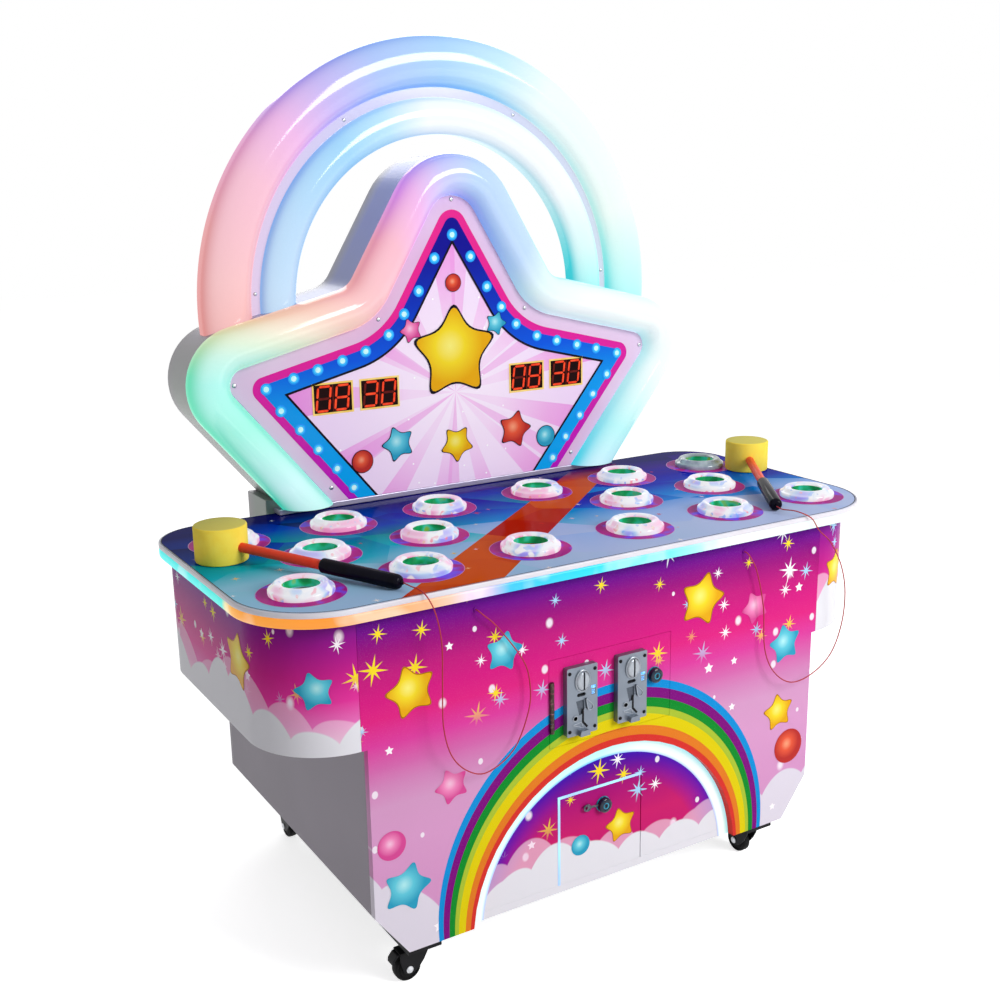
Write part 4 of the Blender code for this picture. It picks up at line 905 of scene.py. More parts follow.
strip_glow = start("opal silicone of the edge light", IOR=1.42)
spot = drawing_place()
along = add("MapRange", spot["X"], -0.65, 0.65)
front_tint = add("ValToRGB", along, stops=[(0.0, "#ffa63a"), (0.08, "#ff9a34"), (0.15, "#ffaa62"),
    (0.21, "#ffbb8c"), (0.24, "#f9cdb4"), (0.262, "#ffdfee"), (0.295, "#d6c8ff"),
    (0.325, "#35c8ff"), (0.43, "#16dcff"), (0.55, "#38f0fb"), (0.62, "#a6faff"), (0.68, "#f2ffff"),
    (1.0, "#eafff2")])
side_tint = add("ValToRGB", add("MapRange", spot["Y"], -0.30, -0.02), stops=[
    (0.0, "#ffa63a"), (0.30, "#ffb244"), (0.40, "#f6e08c"), (0.46, "#3af2e4"), (1.0, "#22eeea")])
on_side = add("MULTIPLY", add("MapRange", spot["X"], -0.56, -0.60),
    add("MapRange", spot["Y"], -0.26, -0.22))
tint = add("Mix RGBA", on_side, front_tint, side_tint)
warm_spots = add("MapRange", lumps(55, 1), 0.5, 0.64, 0.0, 0.6)
pale = add("HueSaturation", Hue=0.515, Saturation=0.5, Value=1.08, Color=tint)
tint = add("Mix RGBA", warm_spots, tint, pale)
lit(tint, 0.72, rough=0.35)
print("lit plastics", 4)

# %% [markdown]
# ## Table edge
# A white extrusion caps the table's edge, and a silicone light strip is pressed into it below.
# Both are one section swept round the table's outline, so their corners stay true.

# %% Table edge
def table_outline(inset, steps=20):
    """The table's rounded outline, this far inside its edge."""
    half, front, back = 0.648 - inset, -0.3555 + inset, 0.2475 - inset
    near, far = 0.148 - inset, 0.100 - inset
    points = arc((-(half - near), front + near), near, 180, 270, steps)
    points += arc((half - near, front + near), near, 270, 360, steps)
    points += arc((half - far, back - far), far, 0, 90, steps)
    return points + arc((-(half - far), back - far), far, 90, 180, steps)


def swept(name, section, finish):
    """A ring of (inset, height) points swept round the table."""
    bm = bmesh.new()
    add_lanes(bm, [[(x, y, z) for x, y in table_outline(inset)] for inset, z in section])
    return piece(name, bm, "cabinet", finish)


trim = swept("table_edge_trim", [(0.0004, 0.7193), (0, 0.7200), (0, 0.7264), (0.0004, 0.7273),
    (0.0012, 0.7279), (0.0024, 0.7279), (0.0028, 0.7262), (0.009, 0.7262), (0.009, 0.7193)],
    white_pvc)
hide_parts("table_trim")
strip = swept("edge_light_strip", [(0.0030, 0.7019), (0.0012, 0.7026), (0.0003, 0.7050),
    (0, 0.7085), (0, 0.7125), (0.0003, 0.7160), (0.0014, 0.7182), (0.0030, 0.7189), (0.012, 0.7189),
    (0.012, 0.7019)], strip_glow)
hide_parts("edge_light")

# %% [markdown]
# ## Playing film
# The film is printed polycarbonate, two millimetres thick, with a hole for each mole. Its print is
# a field of large facets that go from pale blue at the front to violet and navy at the back, with
# a warm beam across. Facets come from a Voronoi pattern whose cells are stretched.

# %% Playing film
film_print = start("printed polycarbonate film", Roughness=0.1, IOR=1.04)
spot = drawing_place()
flat = add("CombineXYZ", spot["X"], spot["Y"])
tilted = add("VectorRotate", flat, Angle=math.radians(28), rotation_type="Z_AXIS")
stretched = add("VectorMath MULTIPLY", tilted, (1.0, 2.3, 1.0))
facets = add("TexVoronoi", Vector=stretched, Scale=1 / 0.24, voronoi_dimensions="2D")
luck = add("SeparateColor", facets["Color"])
depth = add("MapRange", spot["Y"], -0.34, 0.22)
depth = add("ADD", depth, add("MapRange", luck[0], 0.0, 1.0, -0.16, 0.16))
left_side = add("ValToRGB", depth, stops=[(0.05, "#a9c6e4"), (0.28, "#98cce2"), (0.42, "#3fb4c6"),
    (0.58, "#0f8f9a"), (0.74, "#1e44b4"), (0.92, "#12145c")])
right_side = add("ValToRGB", depth, stops=[(0.05, "#bcc9ea"), (0.34, "#a8c0ee"), (0.52, "#4a90dc"),
    (0.66, "#2c3cb8"), (0.82, "#32128c"), (0.95, "#120f66")])
middle = add("ADD", spot["X"], add("MapRange", luck[1], 0.0, 1.0, -0.25, 0.25))
ground = add("Mix RGBA", add("MapRange", middle, -0.25, 0.05), left_side, right_side)
slant = add("VectorMath DOT_PRODUCT", flat, (-0.643, 0.766, 0))
beam_half = add("MapRange", spot["Y"], -0.34, 0.2, 0.060, 0.040)
beam = add("LESS_THAN", add("ABSOLUTE", add("ADD", slant, 0.057)), beam_half)
warm = add("ValToRGB", luck[2], stops=[(0.0, "#b03a3a"), (0.45, "#c24632"), (0.8, "#d56238")])
ground = add("Mix RGBA", add("MULTIPLY", beam, add("MapRange", depth, 1.0, 0.85)), ground, warm)
inside, chance = scattered(flat, 0.075, 4.4)
spark = add("MULTIPLY", sparkle(inside, add("MapRange", chance[0], 0.0, 1.0, 0.006, 0.012)),
    add("MapRange", chance[1], 0.45, 0.46, 1.0, 0.0))
tint = add("ValToRGB", chance[2], stops=[(0.0, "#f1c24a"), (0.5, "#f4f4ff"), (0.8, "#d0504a")])
ground = add("Mix RGBA", spark, ground, tint)
into(add("HueSaturation", Saturation=1.12, Value=1.0, Color=ground))
relief(70, 0.1, 1, strength=0.25)

bm = bmesh.new()
add_prism(bm, table_outline(0.0030), "Z", 0.7265, film_top)
film = piece("playing_film", bm, "cabinet", film_print)
holes = bmesh.new()
for x, y in mole_spots:
    add_prism(holes, arc((x, y), 0.0300, 0, 357.5, 143), "Z", 0.72, 0.735)
carve(film, holes)
print("film holes", len(mole_spots))

# %% [markdown]
# ## Film borders and light halos
# A pale margin and a thin black line run round the film's edge. Each ring stands in a printed
# magenta disc, and its own light tints the film round it.
# These are thin printed layers, so each is a flat strip a fifth of a millimetre above the film.

# %% Film borders and halos
margin_print = start("pale printed margin", Roughness=0.25, IOR=1.1)
into(mottled(90, "#c3c2d2", "#cfd2e0"))
black_print = start("black printed line", Roughness=0.3, IOR=1.06)
into(mottled(60, "#16151f", "#22202c"))


def flat_ring(bm, outer, inner, z):
    """A flat band between two outlines at a height."""
    add_lanes(bm, [[(x, y, z) for x, y in path] for path in (outer, inner)], looped=False)


for name, outer, inner, finish in (("film_margin", 0.0030, 0.0042, margin_print),
                                   ("film_line", 0.0042, 0.0060, black_print)):
    bm = bmesh.new()
    flat_ring(bm, table_outline(outer), table_outline(inner), film_top + 0.0002)
    piece(name, bm, "cabinet", finish)

halo = start("printed disc lit by its ring", Roughness=0.12, IOR=1.06)
blue_spots = add("TexNoise", Vector=add("TexCoord")["Object"], Scale=1000 / 34, Detail=1.0)
tone = mottled(120, "#9a1f7e", "#b52c86", detail=1, spread=0.15)
tone = add("Mix RGBA", add("MapRange", blue_spots, 0.54, 0.68, 0.0, 0.8), tone, "#6250ea")
shine(tone, 0.12)
rim = start("pale edge of a printed disc", Roughness=0.22, IOR=1.1)
into(mottled(50, "#d98fc6", "#c9a2dd"))
bm, edge = bmesh.new(), bmesh.new()
for x, y in mole_spots:
    full = [arc((x, y), r, 0, 355, 71) for r in (0.0725, 0.0715, 0.0505)]
    flat_ring(bm, full[1], full[2], film_top + 0.0003)
    flat_ring(edge, full[0], full[1], film_top + 0.0003)
piece("ring_discs", bm, "cabinet", halo)
piece("ring_disc_edges", edge, "cabinet", rim)
print("halos", len(mole_spots))

# %% [markdown]
# ## Light rings and moles
# Each ring is a thick clear moulding with diodes inside, so it shows white patches between tints of
# pink and blue. It is one closed profile turned about the mole's axis. The mole is a domed plunger
# lit in green. One ring at the back is dark, as a lamp that is off is part of the game.

# %% Light rings and moles
ring_lit = start("clear moulded acrylic ring, lit", IOR=1.49)
hue = add("ValToRGB", lumps(58, 0), stops=[(0.32, "#ffa6d6"), (0.41, "#ffdcf0"), (0.46, "#fdfbff"),
    (0.54, "#f4f9ff"), (0.60, "#bcdcff"), (0.68, "#a8a2ff")])
glint = add("MapRange", lumps(17, 0), 0.60, 0.70)
hue = add("Mix RGBA", glint, hue, "#ffffff")
diode = add("ValToRGB", lumps(31, 0), stops=[(0.42, "#ff8fa4"), (0.50, "#ffe0b0"),
    (0.58, "#7fb4ff")])
speck = add("MapRange", lumps(10, 0), 0.66, 0.72, 0.0, 0.8)
hue = add("Mix RGBA", speck, hue, diode)
# Painted highlight: the ring's top faces are paler than its sides.
facing = add("SeparateXYZ", add("TexCoord")["Normal"])["Z"]
painted_top_highlight = add("MapRange", facing, 0.3, 0.95)
pale = add("Mix RGBA", 0.6, hue, "#f6f6ff")
tint = add("Mix RGBA", painted_top_highlight, hue, pale)
lit(tint, 0.56, rough=0.06)
ring_off = start("clear moulded acrylic ring, dark", Roughness=0.12, IOR=1.49, Coat_Weight=0.5)
into(mottled(20, "#7f8f9c", "#b3c4c8"))
profile = [(0.0305, 0.0002), (0.0305, 0.0142), (0.0309, 0.0156), (0.0330, 0.0170), (0.0352, 0.0180),
    (0.0380, 0.0187), (0.0408, 0.0189), (0.0424, 0.0183), (0.0440, 0.0166), (0.0464, 0.0136),
    (0.0484, 0.0114), (0.0506, 0.0103), (0.0522, 0.0094), (0.0530, 0.0078), (0.0530, 0.0030),
    (0.0522, 0.0002), (0.0305, 0.0002)]
bm, dark, liners = bmesh.new(), bmesh.new(), bmesh.new()
for x, y in mole_spots:
    add_turned(liners, [(0.0296, 0.0004), (0.0304, 0.0004), (0.0304, 0.0136), (0.0296, 0.0136),
        (0.0296, 0.0004)], (x, y, film_top), sides=48)
    add_turned(dark if (x, y) == (0.54, 0.0925) else bm, profile, (x, y, film_top), sides=56)
piece("light_rings", bm, "cabinet", ring_lit)
piece("light_ring_dark", dark, "cabinet", ring_off)
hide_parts("playfield")

mole_plastic = start("green ABS, lit from below", Roughness=0.25, IOR=1.54)
shade = add("ValToRGB", lumps(26, 1), stops=[(0.35, "#0a6a3c"), (0.5, "#128a50"), (0.62, "#2aa890"),
    (0.74, "#6f9a3a")])
shine(shade, 0.45)
piece("ring_liners", liners, "cabinet", mole_plastic)
for name in sorted(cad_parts):
    if not name.startswith("mole_") or name == "mole_bed":
        continue
    low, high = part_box(name)
    x, y = (low.x + high.x) / 2, (low.y + high.y) / 2
    base, top = low.z + 0.105, high.z
    bm = bmesh.new()
    dome = [(0.026 * math.cos(t), top - 0.013 + 0.013 * math.sin(t)) for t in
            (math.radians(a) for a in (0, 12, 24, 36, 48, 58, 68, 78, 86))]
    add_turned(bm, [(0.006, low.z), (0.006, base), (0.0245, base), (0.026, base + 0.0015)] + dome,
        (x, y, 0), sides=40)
    mole = piece(name + "_plunger", bm, name, mole_plastic)
    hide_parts(name)
print("moles", len(mole_spots), "top", round(top, 4), "film", film_top)

# %% [markdown]
# ## Star outline
# The star's panel, tube and housing all follow one outline at different distances. Each corner is
# an arc, hollow at the waist and round at the points, and each edge between them is straight.

# %% Star outline
def star_outline(offset, bottom, steps=16, least=0.001):
    """The star's edge, this far outside its panel, from its right foot to its left one."""
    right_half = [(0.287, 0.744, 0, 0), (0.5, 1.0055, 0.03, 1), (0.1767, 1.084, 0.13, -1)]
    left_half = [(-x, z, r, turn) for x, z, r, turn in reversed(right_half)]
    corners = right_half + [(0, 1.376, 0.06, 1)] + left_half
    edges = [(Vector(b[:2]) - Vector(a[:2])).normalized() for a, b in zip(corners, corners[1:])]
    normals = [Vector((e.y, -e.x)) for e in edges]

    def foot(corner, edge, normal):
        spot = Vector(corner[:2]) + normal * offset
        return tuple(spot + edge * ((bottom - spot.y) / edge.y))

    points = [foot(corners[0], edges[0], normals[0])]
    for (x, z, radius, turn), n0, n1 in zip(corners[1:-1], normals, normals[1:]):
        middle = Vector((x, z)) + (n0 + n1) * (offset / (1 + n0.dot(n1)))
        radius = max(radius + turn * offset, least)
        first = math.atan2(n0.y, n0.x)
        swing = math.atan2(n0.x * n1.y - n0.y * n1.x, n0.dot(n1))
        reach = radius / math.cos(abs(swing) / 2)
        aim = first + swing / 2
        centre = middle - turn * reach * Vector((math.cos(aim), math.sin(aim)))
        for k in range(steps + 1):
            angle = first + swing * k / steps
            way = Vector((math.cos(angle), math.sin(angle)))
            points.append(tuple(centre + turn * radius * way))
    points.append(foot(corners[-1], edges[-1], normals[-1]))
    return points


# %% [markdown]
# ## Marquee base and housing
# The base is a board box that closes the gap between table and star, with an aluminium rail along
# the foot of the panel. Its lip goes under the table's rear edge, so that no light leaks out there.
# The housing is one smooth shell behind the star, pushed along the star's own outline.

# %% Marquee base, rail and housing
low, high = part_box("marquee_base")
bm = bmesh.new()
lip_y, lip_top = 0.2355, 0.7015
add_prism(bm, [(lip_y, low.z), (0.3475, low.z), (0.3475, base_top), (0.248, base_top),
               (0.248, lip_top), (lip_y, lip_top)], "X", -0.41, 0.41)
base = piece("marquee_base_box", bm, "cabinet", housing_paint, 0.002)
bm = bmesh.new()
add_box(bm, (-0.395, 0.395), (0.2170, 0.2500), (0.7284, 0.7397))
piece("panel_foot_rail", bm, "cabinet", rail_metal, 0.0018, 3)
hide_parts("marquee_base")
low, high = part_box("marquee_housing")
bm = bmesh.new()
add_prism(bm, star_outline(0.0760, low.z), "Y", low.y, high.y)
housing = piece("marquee_housing_shell", bm, "cabinet", housing_paint, 0.0015)
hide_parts("marquee_housing")
print("marquee base and housing", [round(v, 4) for v in high])

# %% [markdown]
# ## Star tube
# The tube is vacuum formed: one half-round section swept along the star, with a flange under the
# panel's edge. Sixteen steps to each corner keep its highlights smooth.

# %% Star tube
back = lens_y + 0.003
section = [(-0.012, back), (-0.012, lens_y), (0.0003, lens_y)]
for k in range(25):
    angle = math.pi * (1 - k / 24)
    bulge = (panel_y + lens_y) / 2 - 0.044 * math.sin(angle)
    section.append((0.0403 + 0.0397 * math.cos(angle), bulge))
section.append((0.080, back))
bm = bmesh.new()
add_lanes(bm, [[(x, y, z) for x, z in star_outline(offset, star_foot)] for offset, y in section],
    ring=False)
tube = piece("star_tube", bm, "cabinet", star_glow)
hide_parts("star_lens")
print("star tube", len(section), "points in its section")

# %% [markdown]
# ## Star panel
# The panel is a printed acrylic sheet, lit from behind. Its border bands follow the star: a pale
# one, a magenta one, and a blue one with printed bulbs. Each is a strip between two outlines.
# Inside it there is a plain burst of rays with stars, drawn by angle round one point.

# %% Star panel finishes
def rays(count, shift):
    """A wave with this many turns round the burst's middle, and the distance to it."""
    share, reach = turned_about(burst_centre)
    return add("PINGPONG", add("ADD", add("MULTIPLY", share, count), shift), 1.0), reach


burst = start("back lit acrylic with a printed burst", Roughness=0.12, IOR=1.18)
wave, reach = rays(26, 0.3)
wide = add("GREATER_THAN", wave, 0.62)
shade = add("ValToRGB", add("MapRange", reach, 0.05, 0.42), stops=[(0.0, "#f3e6f4"),
    (0.6, "#e9d3ee"), (1.0, "#e7c5ea")])
pinks = add("ValToRGB", add("MapRange", reach, 0.10, 0.40), stops=[(0.0, "#efd6ee"),
    (0.45, "#e7a3de"), (1.0, "#d966cc")])
shade = add("Mix RGBA", add("MULTIPLY", wide, 0.85), shade, pinks)
wave = rays(12, 0.9)[0]
shade = add("Mix RGBA", add("MULTIPLY", add("GREATER_THAN", wave, 0.86), 0.5), shade, "#e58fd8")
inside, luck = scattered(print_place(False)[0], 0.055, 7.7)
dots = add("MapRange", add("VectorMath LENGTH", inside), 0.0022, 0.0012)
shade = add("Mix RGBA", add("MULTIPLY", dots, add("MapRange", luck[0], 0.5, 0.51, 1.0, 0.0)), shade,
    "#ffffff")
shine(shade, 0.08)
dress(burst, "star_panel", bevel=0.0)


def printed(name, low, high, scale=40, glow=0.12):
    """A back-lit printed colour, a little uneven."""
    made = start(name, Roughness=0.12, IOR=1.18)
    shade = mottled(scale, low, high, detail=1, spread=0.15)
    shine(shade, glow)
    return made


pale_band = printed("pale lavender print", "#dcb9db", "#e2c6e2", 160, 0.0)
magentas = [(0.0, "#b01cb8"), (0.3, "#cf1f9c"), (0.6, "#df2490"), (1.0, "#e02a86")]
blues = [(0.0, "#0aa2ea"), (0.32, "#0a93e4"), (0.46, "#0a55d8"), (0.62, "#0b33b4"),
         (0.8, "#10108e"), (1.0, "#0d0a80")]
bands = []
for name, fade in (("magenta print", magentas), ("blue print", blues)):
    bands.append(start(name, Roughness=0.12, IOR=1.18))
    shine(add("ValToRGB", add("MapRange", drawing_place()["Z"], star_foot, 1.33), stops=fade), 0.05)
magenta_band, blue_band = bands
bulb_glow = printed("printed bulb halo", "#1f8ce8", "#2a9cf0", 12)
bulb_glare = printed("printed bulb glare", "#34b4f4", "#46c8f6", 12)
bulb_core = printed("printed bulb core", "#b8eef0", "#d0f4f4", 8, 0.1)

# %% [markdown]
# ## Star panel strips
# Small discs make the bulbs. All of the layers are a fraction of a millimetre apart, in the order
# in which a printer lays them down.

# %% Star panel strips
def star_strip(name, outer, inner, finish, lift):
    """A strip of the panel between two distances inside its edge, proud by lift."""
    bm = bmesh.new()
    rows = []
    for inset in (outer, inner):
        least = max(0.001, 0.024 - 0.75 * abs(inset - 0.0275))
        rows.append([bm.verts.new((x, panel_y - lift, z))
                     for x, z in star_outline(-inset, star_foot, least=least)])
    for i in range(len(rows[0]) - 1):
        bm.faces.new((rows[0][i], rows[0][i + 1], rows[1][i + 1], rows[1][i]))
    return piece(name, bm, "cabinet", finish)


star_strip("panel_pale_band", 0.0008, 0.0280, pale_band, 0.0002)
star_strip("panel_magenta_band", 0.0275, 0.0432, magenta_band, 0.0004)
star_strip("panel_blue_band", 0.0428, 0.0735, blue_band, 0.0006)
star_strip("panel_black_line", 0.0728, 0.0772, black_print, 0.0008)
half_bulbs = [(.041, .51), (.078, .448), (.112, .405), (.147, .367), (.198, .339), (.248, .325),
    (.30, .312), (.35, .30), (.406, .285), (.379, .241), (.342, .201), (.307, .158), (.27, .115),
    (.236, .072)]
bulbs = [(0, 1.244)] + [(s * x, z + 0.69) for x, z in half_bulbs for s in (-1, 1)]
bm, glare, core = bmesh.new(), bmesh.new(), bmesh.new()
for x, z in bulbs:
    for mesh, r, lift in ((bm, 0.0116, 0.0010), (glare, 0.0088, 0.0012), (core, 0.0054, 0.0014)):
        disc = arc((x, z), r, 0, 345, 23)
        mesh.faces.new([mesh.verts.new((u, panel_y - lift, w)) for u, w in disc])
piece("panel_bulb_halos", bm, "cabinet", bulb_glow)
piece("panel_bulb_glares", glare, "cabinet", bulb_glare)
piece("panel_bulb_cores", core, "cabinet", bulb_core)
print("bulbs", len(bulbs))

# %% [markdown]
# ## Displays
# Each player's score shows on two-digit, seven-segment displays behind the panel: a dark red filter
# with lit segments. The segments are small hexagons, leaning a little, in a thin yellow frame.

# %% Displays
filter_red = start("dark red display filter", Roughness=0.12, IOR=1.15)
into(mottled(20, "#140406", "#220708"))
dress(filter_red, "display_board", bevel=0.0004)
segment_on = printed("lit red segment", "#d8371c", "#ea4a28", 9, 0.3)
segment_off = printed("dark red segment", "#5a1210", "#6b1814", 9, 0.0)
frame_print = printed("yellow printed frame", "#ecc45a", "#f3d67e", 30, 0.1)
digit_segments = {"0": "abcdef", "3": "abgcd", "8": "abcdefg"}


def add_digit(lit_mesh, dark_mesh, centre, text, half=(0.0132, 0.0236), thick=0.0023):
    """One digit of seven segments, leaning to the right."""
    w, h = half
    bars = {"a": ((-w, h), (w, h)), "b": ((w, h), (w, 0)), "c": ((w, 0), (w, -h)),
        "d": ((-w, -h), (w, -h)), "e": ((-w, 0), (-w, -h)), "f": ((-w, h), (-w, 0)),
        "g": ((-w, 0), (w, 0))}
    for key, (start_at, end_at) in bars.items():
        mesh = lit_mesh if key in digit_segments[text] else dark_mesh
        a, b = Vector(start_at), Vector(end_at)
        run = (b - a).normalized()
        side_on = Vector((-run.y, run.x)) * thick
        a, b = a + run * 0.0012, b - run * 0.0012
        corners = [a, a + run * thick + side_on, b - run * thick + side_on, b,
            b - run * thick - side_on, a + run * thick - side_on]
        mesh.faces.new([mesh.verts.new((centre[0] + p.x + 0.12 * p.y, panel_y - 0.0010,
            centre[1] + p.y)) for p in corners])


lit_bm, dark_bm, frame_bm = bmesh.new(), bmesh.new(), bmesh.new()
for x, text in ((-0.2715, "08"), (-0.1715, "30"), (0.1715, "08"), (0.2715, "30")):
    for shift, digit in zip((-0.0195, 0.0195), text):
        add_digit(lit_bm, dark_bm, (x + shift, 0.945), digit)
    gap = rectangle(x - 0.0012, x + 0.0012, 0.9185, 0.9715)
    dark_bm.faces.new([dark_bm.verts.new((u, panel_y - 0.0010, w)) for u, w in gap])
    outer = rectangle(x - 0.0432, x + 0.0432, 0.9140, 0.9760)
    inner = rectangle(x - 0.0395, x + 0.0395, 0.9177, 0.9723)
    add_lanes(frame_bm, [[(u, panel_y - 0.0008, w) for u, w in path] for path in (outer, inner)],
        looped=False)
piece("score_segments_lit", lit_bm, "cabinet", segment_on)
piece("score_segments_dark", dark_bm, "cabinet", segment_off)
piece("score_frames", frame_bm, "cabinet", frame_print)
print("displays", 4)

# %% [markdown]
# ## Light arch
# Two tubes with a groove between them stand behind the star on one back plate. It is one section
# swept along an arc, then cut where the star's housing stands in front of it.

# %% Light arch
section = [(0.504, arch_y + 0.015)]
for outer, inner, bulge in ((0.504, 0.408, 0.036), (0.389, 0.3185, 0.028)):
    for k in range(21):
        angle = math.pi * k / 20
        section.append(((outer + inner) / 2 + (outer - inner) / 2 * math.cos(angle),
            arch_y - 0.004 - bulge * math.sin(angle)))
section.append((0.3185, arch_y + 0.015))
bm = bmesh.new()
add_lanes(bm, [[(x, y, z) for x, z in arc((0, arch_centre), r, -14, 194, 112)] for r, y in section],
    ring=False)
arch = piece("light_arch", bm, "cabinet", arch_glow)
cutter = bmesh.new()
add_prism(cutter, star_outline(0.0763, base_top, 6), "Y", 0.0, 0.4)
carve(arch, cutter)
soften(arch, 0.0)
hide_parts("arch_lens")
print("light arch", len(arch.data.polygons), "faces")

# %% [markdown]
# ## Screws
# Pan-head screws hold the panel and the arch. A screw is a low dome with a round dip in its middle.
# One function makes one, facing the front or the back, and each set is one piece.

# %% Screws
def add_screw(bm, x, y, z, radius, facing):
    """A pan head with a round recess in its middle, its head toward facing, -1 for the front."""
    profile = [(radius, 0.0), (radius, 0.0006), (radius * 0.86, 0.0013), (radius * 0.5, 0.0018),
        (radius * 0.22, 0.0019), (radius * 0.2, 0.0008)]
    add_turned(bm, [(r, facing * h) for r, h in profile], (x, y, z), "Y", 16)


bm = bmesh.new()
for x, z in ((0, 1.3125), (0.467, 0.988), (-0.467, 0.988), (0.168, 1.089), (-0.168, 1.089),
        (0.284, 0.768), (-0.284, 0.768)):
    add_screw(bm, x, panel_y - 0.0006, z, 0.0042, -1)
for x, z in ((-.2018, 1.4656), (.1728, 1.4677), (.3819, 1.1507), (-.4025, 1.1485)):
    reach = math.hypot(x, z - arch_centre) / 0.3985
    add_screw(bm, x / reach, arch_y - 0.0045, arch_centre + (z - arch_centre) / reach, 0.0036, -1)
piece("marquee_screws", bm, "cabinet", zinc)
bm = bmesh.new()
for x, z in ((-0.52, 1.0), (0.52, 1.0), (-0.20, 1.15), (0.20, 1.15), (-0.30, 0.80), (0.30, 0.80),
        (0.0, 1.39)):
    add_screw(bm, x, 0.3473, z, 0.0045, 1)
piece("housing_screws", bm, "cabinet", zinc)
print("screws placed")

# %% [markdown]
# ## Rear cover
# The back is a plain board with sunk screws and a field of air slots for the power supply.
# The slots and the screw sinks are cut out of the board, so they are real holes.

# %% Rear cover
low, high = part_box("rear_cover")
bm = bmesh.new()
foot_in, foot_up = 0.0605, 0.082
add_prism(bm, [(low.x, high.z), (low.x, low.z + foot_up), (low.x + foot_in, low.z),
    (high.x - foot_in, low.z), (high.x, low.z + foot_up), (high.x, high.z)], "Y", low.y, high.y)
cover = piece("rear_cover_board", bm, "cabinet", melamine)
cutter = bmesh.new()
for column in (-1, 1):
    for row in range(7):
        slot = slot_outline((column * 0.24, 0.20 + row * 0.022), 0.07, 0.004, 6)
        add_prism(cutter, slot, "Y", low.y - 0.01, high.y + 0.01)
sinks = [(x, z) for x in (low.x + 0.02, 0.0, high.x - 0.02)
    for z in (0.19, 0.40, high.z - 0.02)] + [(-0.39, low.z + 0.02), (0.39, low.z + 0.02)]
for x, z in sinks:
    add_prism(cutter, arc((x, z), 0.006, 0, 345, 23), "Y", high.y - 0.0025, high.y + 0.01)
carve(cover, cutter)
soften(cover, 0.0006)
bm = bmesh.new()
for x, z in sinks:
    add_screw(bm, x, high.y - 0.0024, z, 0.0048, 1)
piece("rear_cover_screws", bm, "cabinet", zinc)
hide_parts("rear_cover")
print("rear cover", len(sinks), "screws")

# %% [markdown]
# ## Light band and cash door
# A band of opal acrylic lines the arched opening, and light also leaks round the cash door's top
# and left edges. The leak is a narrow strip that lies just in front of the recessed board.

# %% Light band and door glow
low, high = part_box("arch_light")
bm = bmesh.new()
wide, narrow = band_outer - seam, band_inner
lean = [math.degrees(math.asin((low.z - band_centre) / r)) for r in (wide, narrow)]
outline = arc((0, band_centre), wide, lean[0], 180 - lean[0], 72) + arc((0, band_centre), narrow,
    180 - lean[1], lean[1], 72)
add_prism(bm, outline, "Y", low.y + 0.0115, high.y)
band = piece("recess_light_band", bm, "cabinet", band_glow, 0.0008)
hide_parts("arch_light")
glow_line = printed("lit edge of the door opening", "#9fc2f4", "#a6e6fa", 60, 0.4)
face = recess_y - seam
bm = bmesh.new()
for x, z in (((-0.1092, -0.1045), (0.1083, 0.2835)), ((-0.1045, 0.0755), (0.2785, 0.2835))):
    add_box(bm, x, (face - 0.0006, face + 0.001), z)
piece("door_light_edge", bm, "cabinet", glow_line)
print("door glow at", face)

# %% [markdown]
# ## Coin acceptors
# An acceptor's face is die-cast zinc: a thick plate with soft edges, a turned bezel with a coin
# slot, a small return slot, a window that shows the price lamp, and a recess in which the return
# lever works. The plate is cut from one block, and the parts on it ride with the door.

# %% Coin acceptors
lamp_blue = printed("lit acceptor window", "#3c8ef0", "#8fd0ff", 4, 0.6)
front, top = front_y - seam, 0.5353


def near(x, *points):
    """Points given in millimetres from the middle of a face's top edge."""
    return [(x + u / 1000, top + w / 1000) for u, w in points]


def teardrop(x, grow):
    """The return lever's outline: a small round at its top and a larger one at its foot."""
    small, large = (Vector(point) for point in near(x, (7.2, -62.2), (14.7, -77.5)))
    run = small - large
    aim = math.degrees(math.atan2(run.y, run.x))
    lean = math.degrees(math.acos((0.0062 - 0.0016) / run.length))
    return (arc(tuple(large), 0.0062 + grow, aim + lean, aim - lean + 360, 20)
            + arc(tuple(small), 0.0016 + grow, aim - lean, aim + lean, 8))


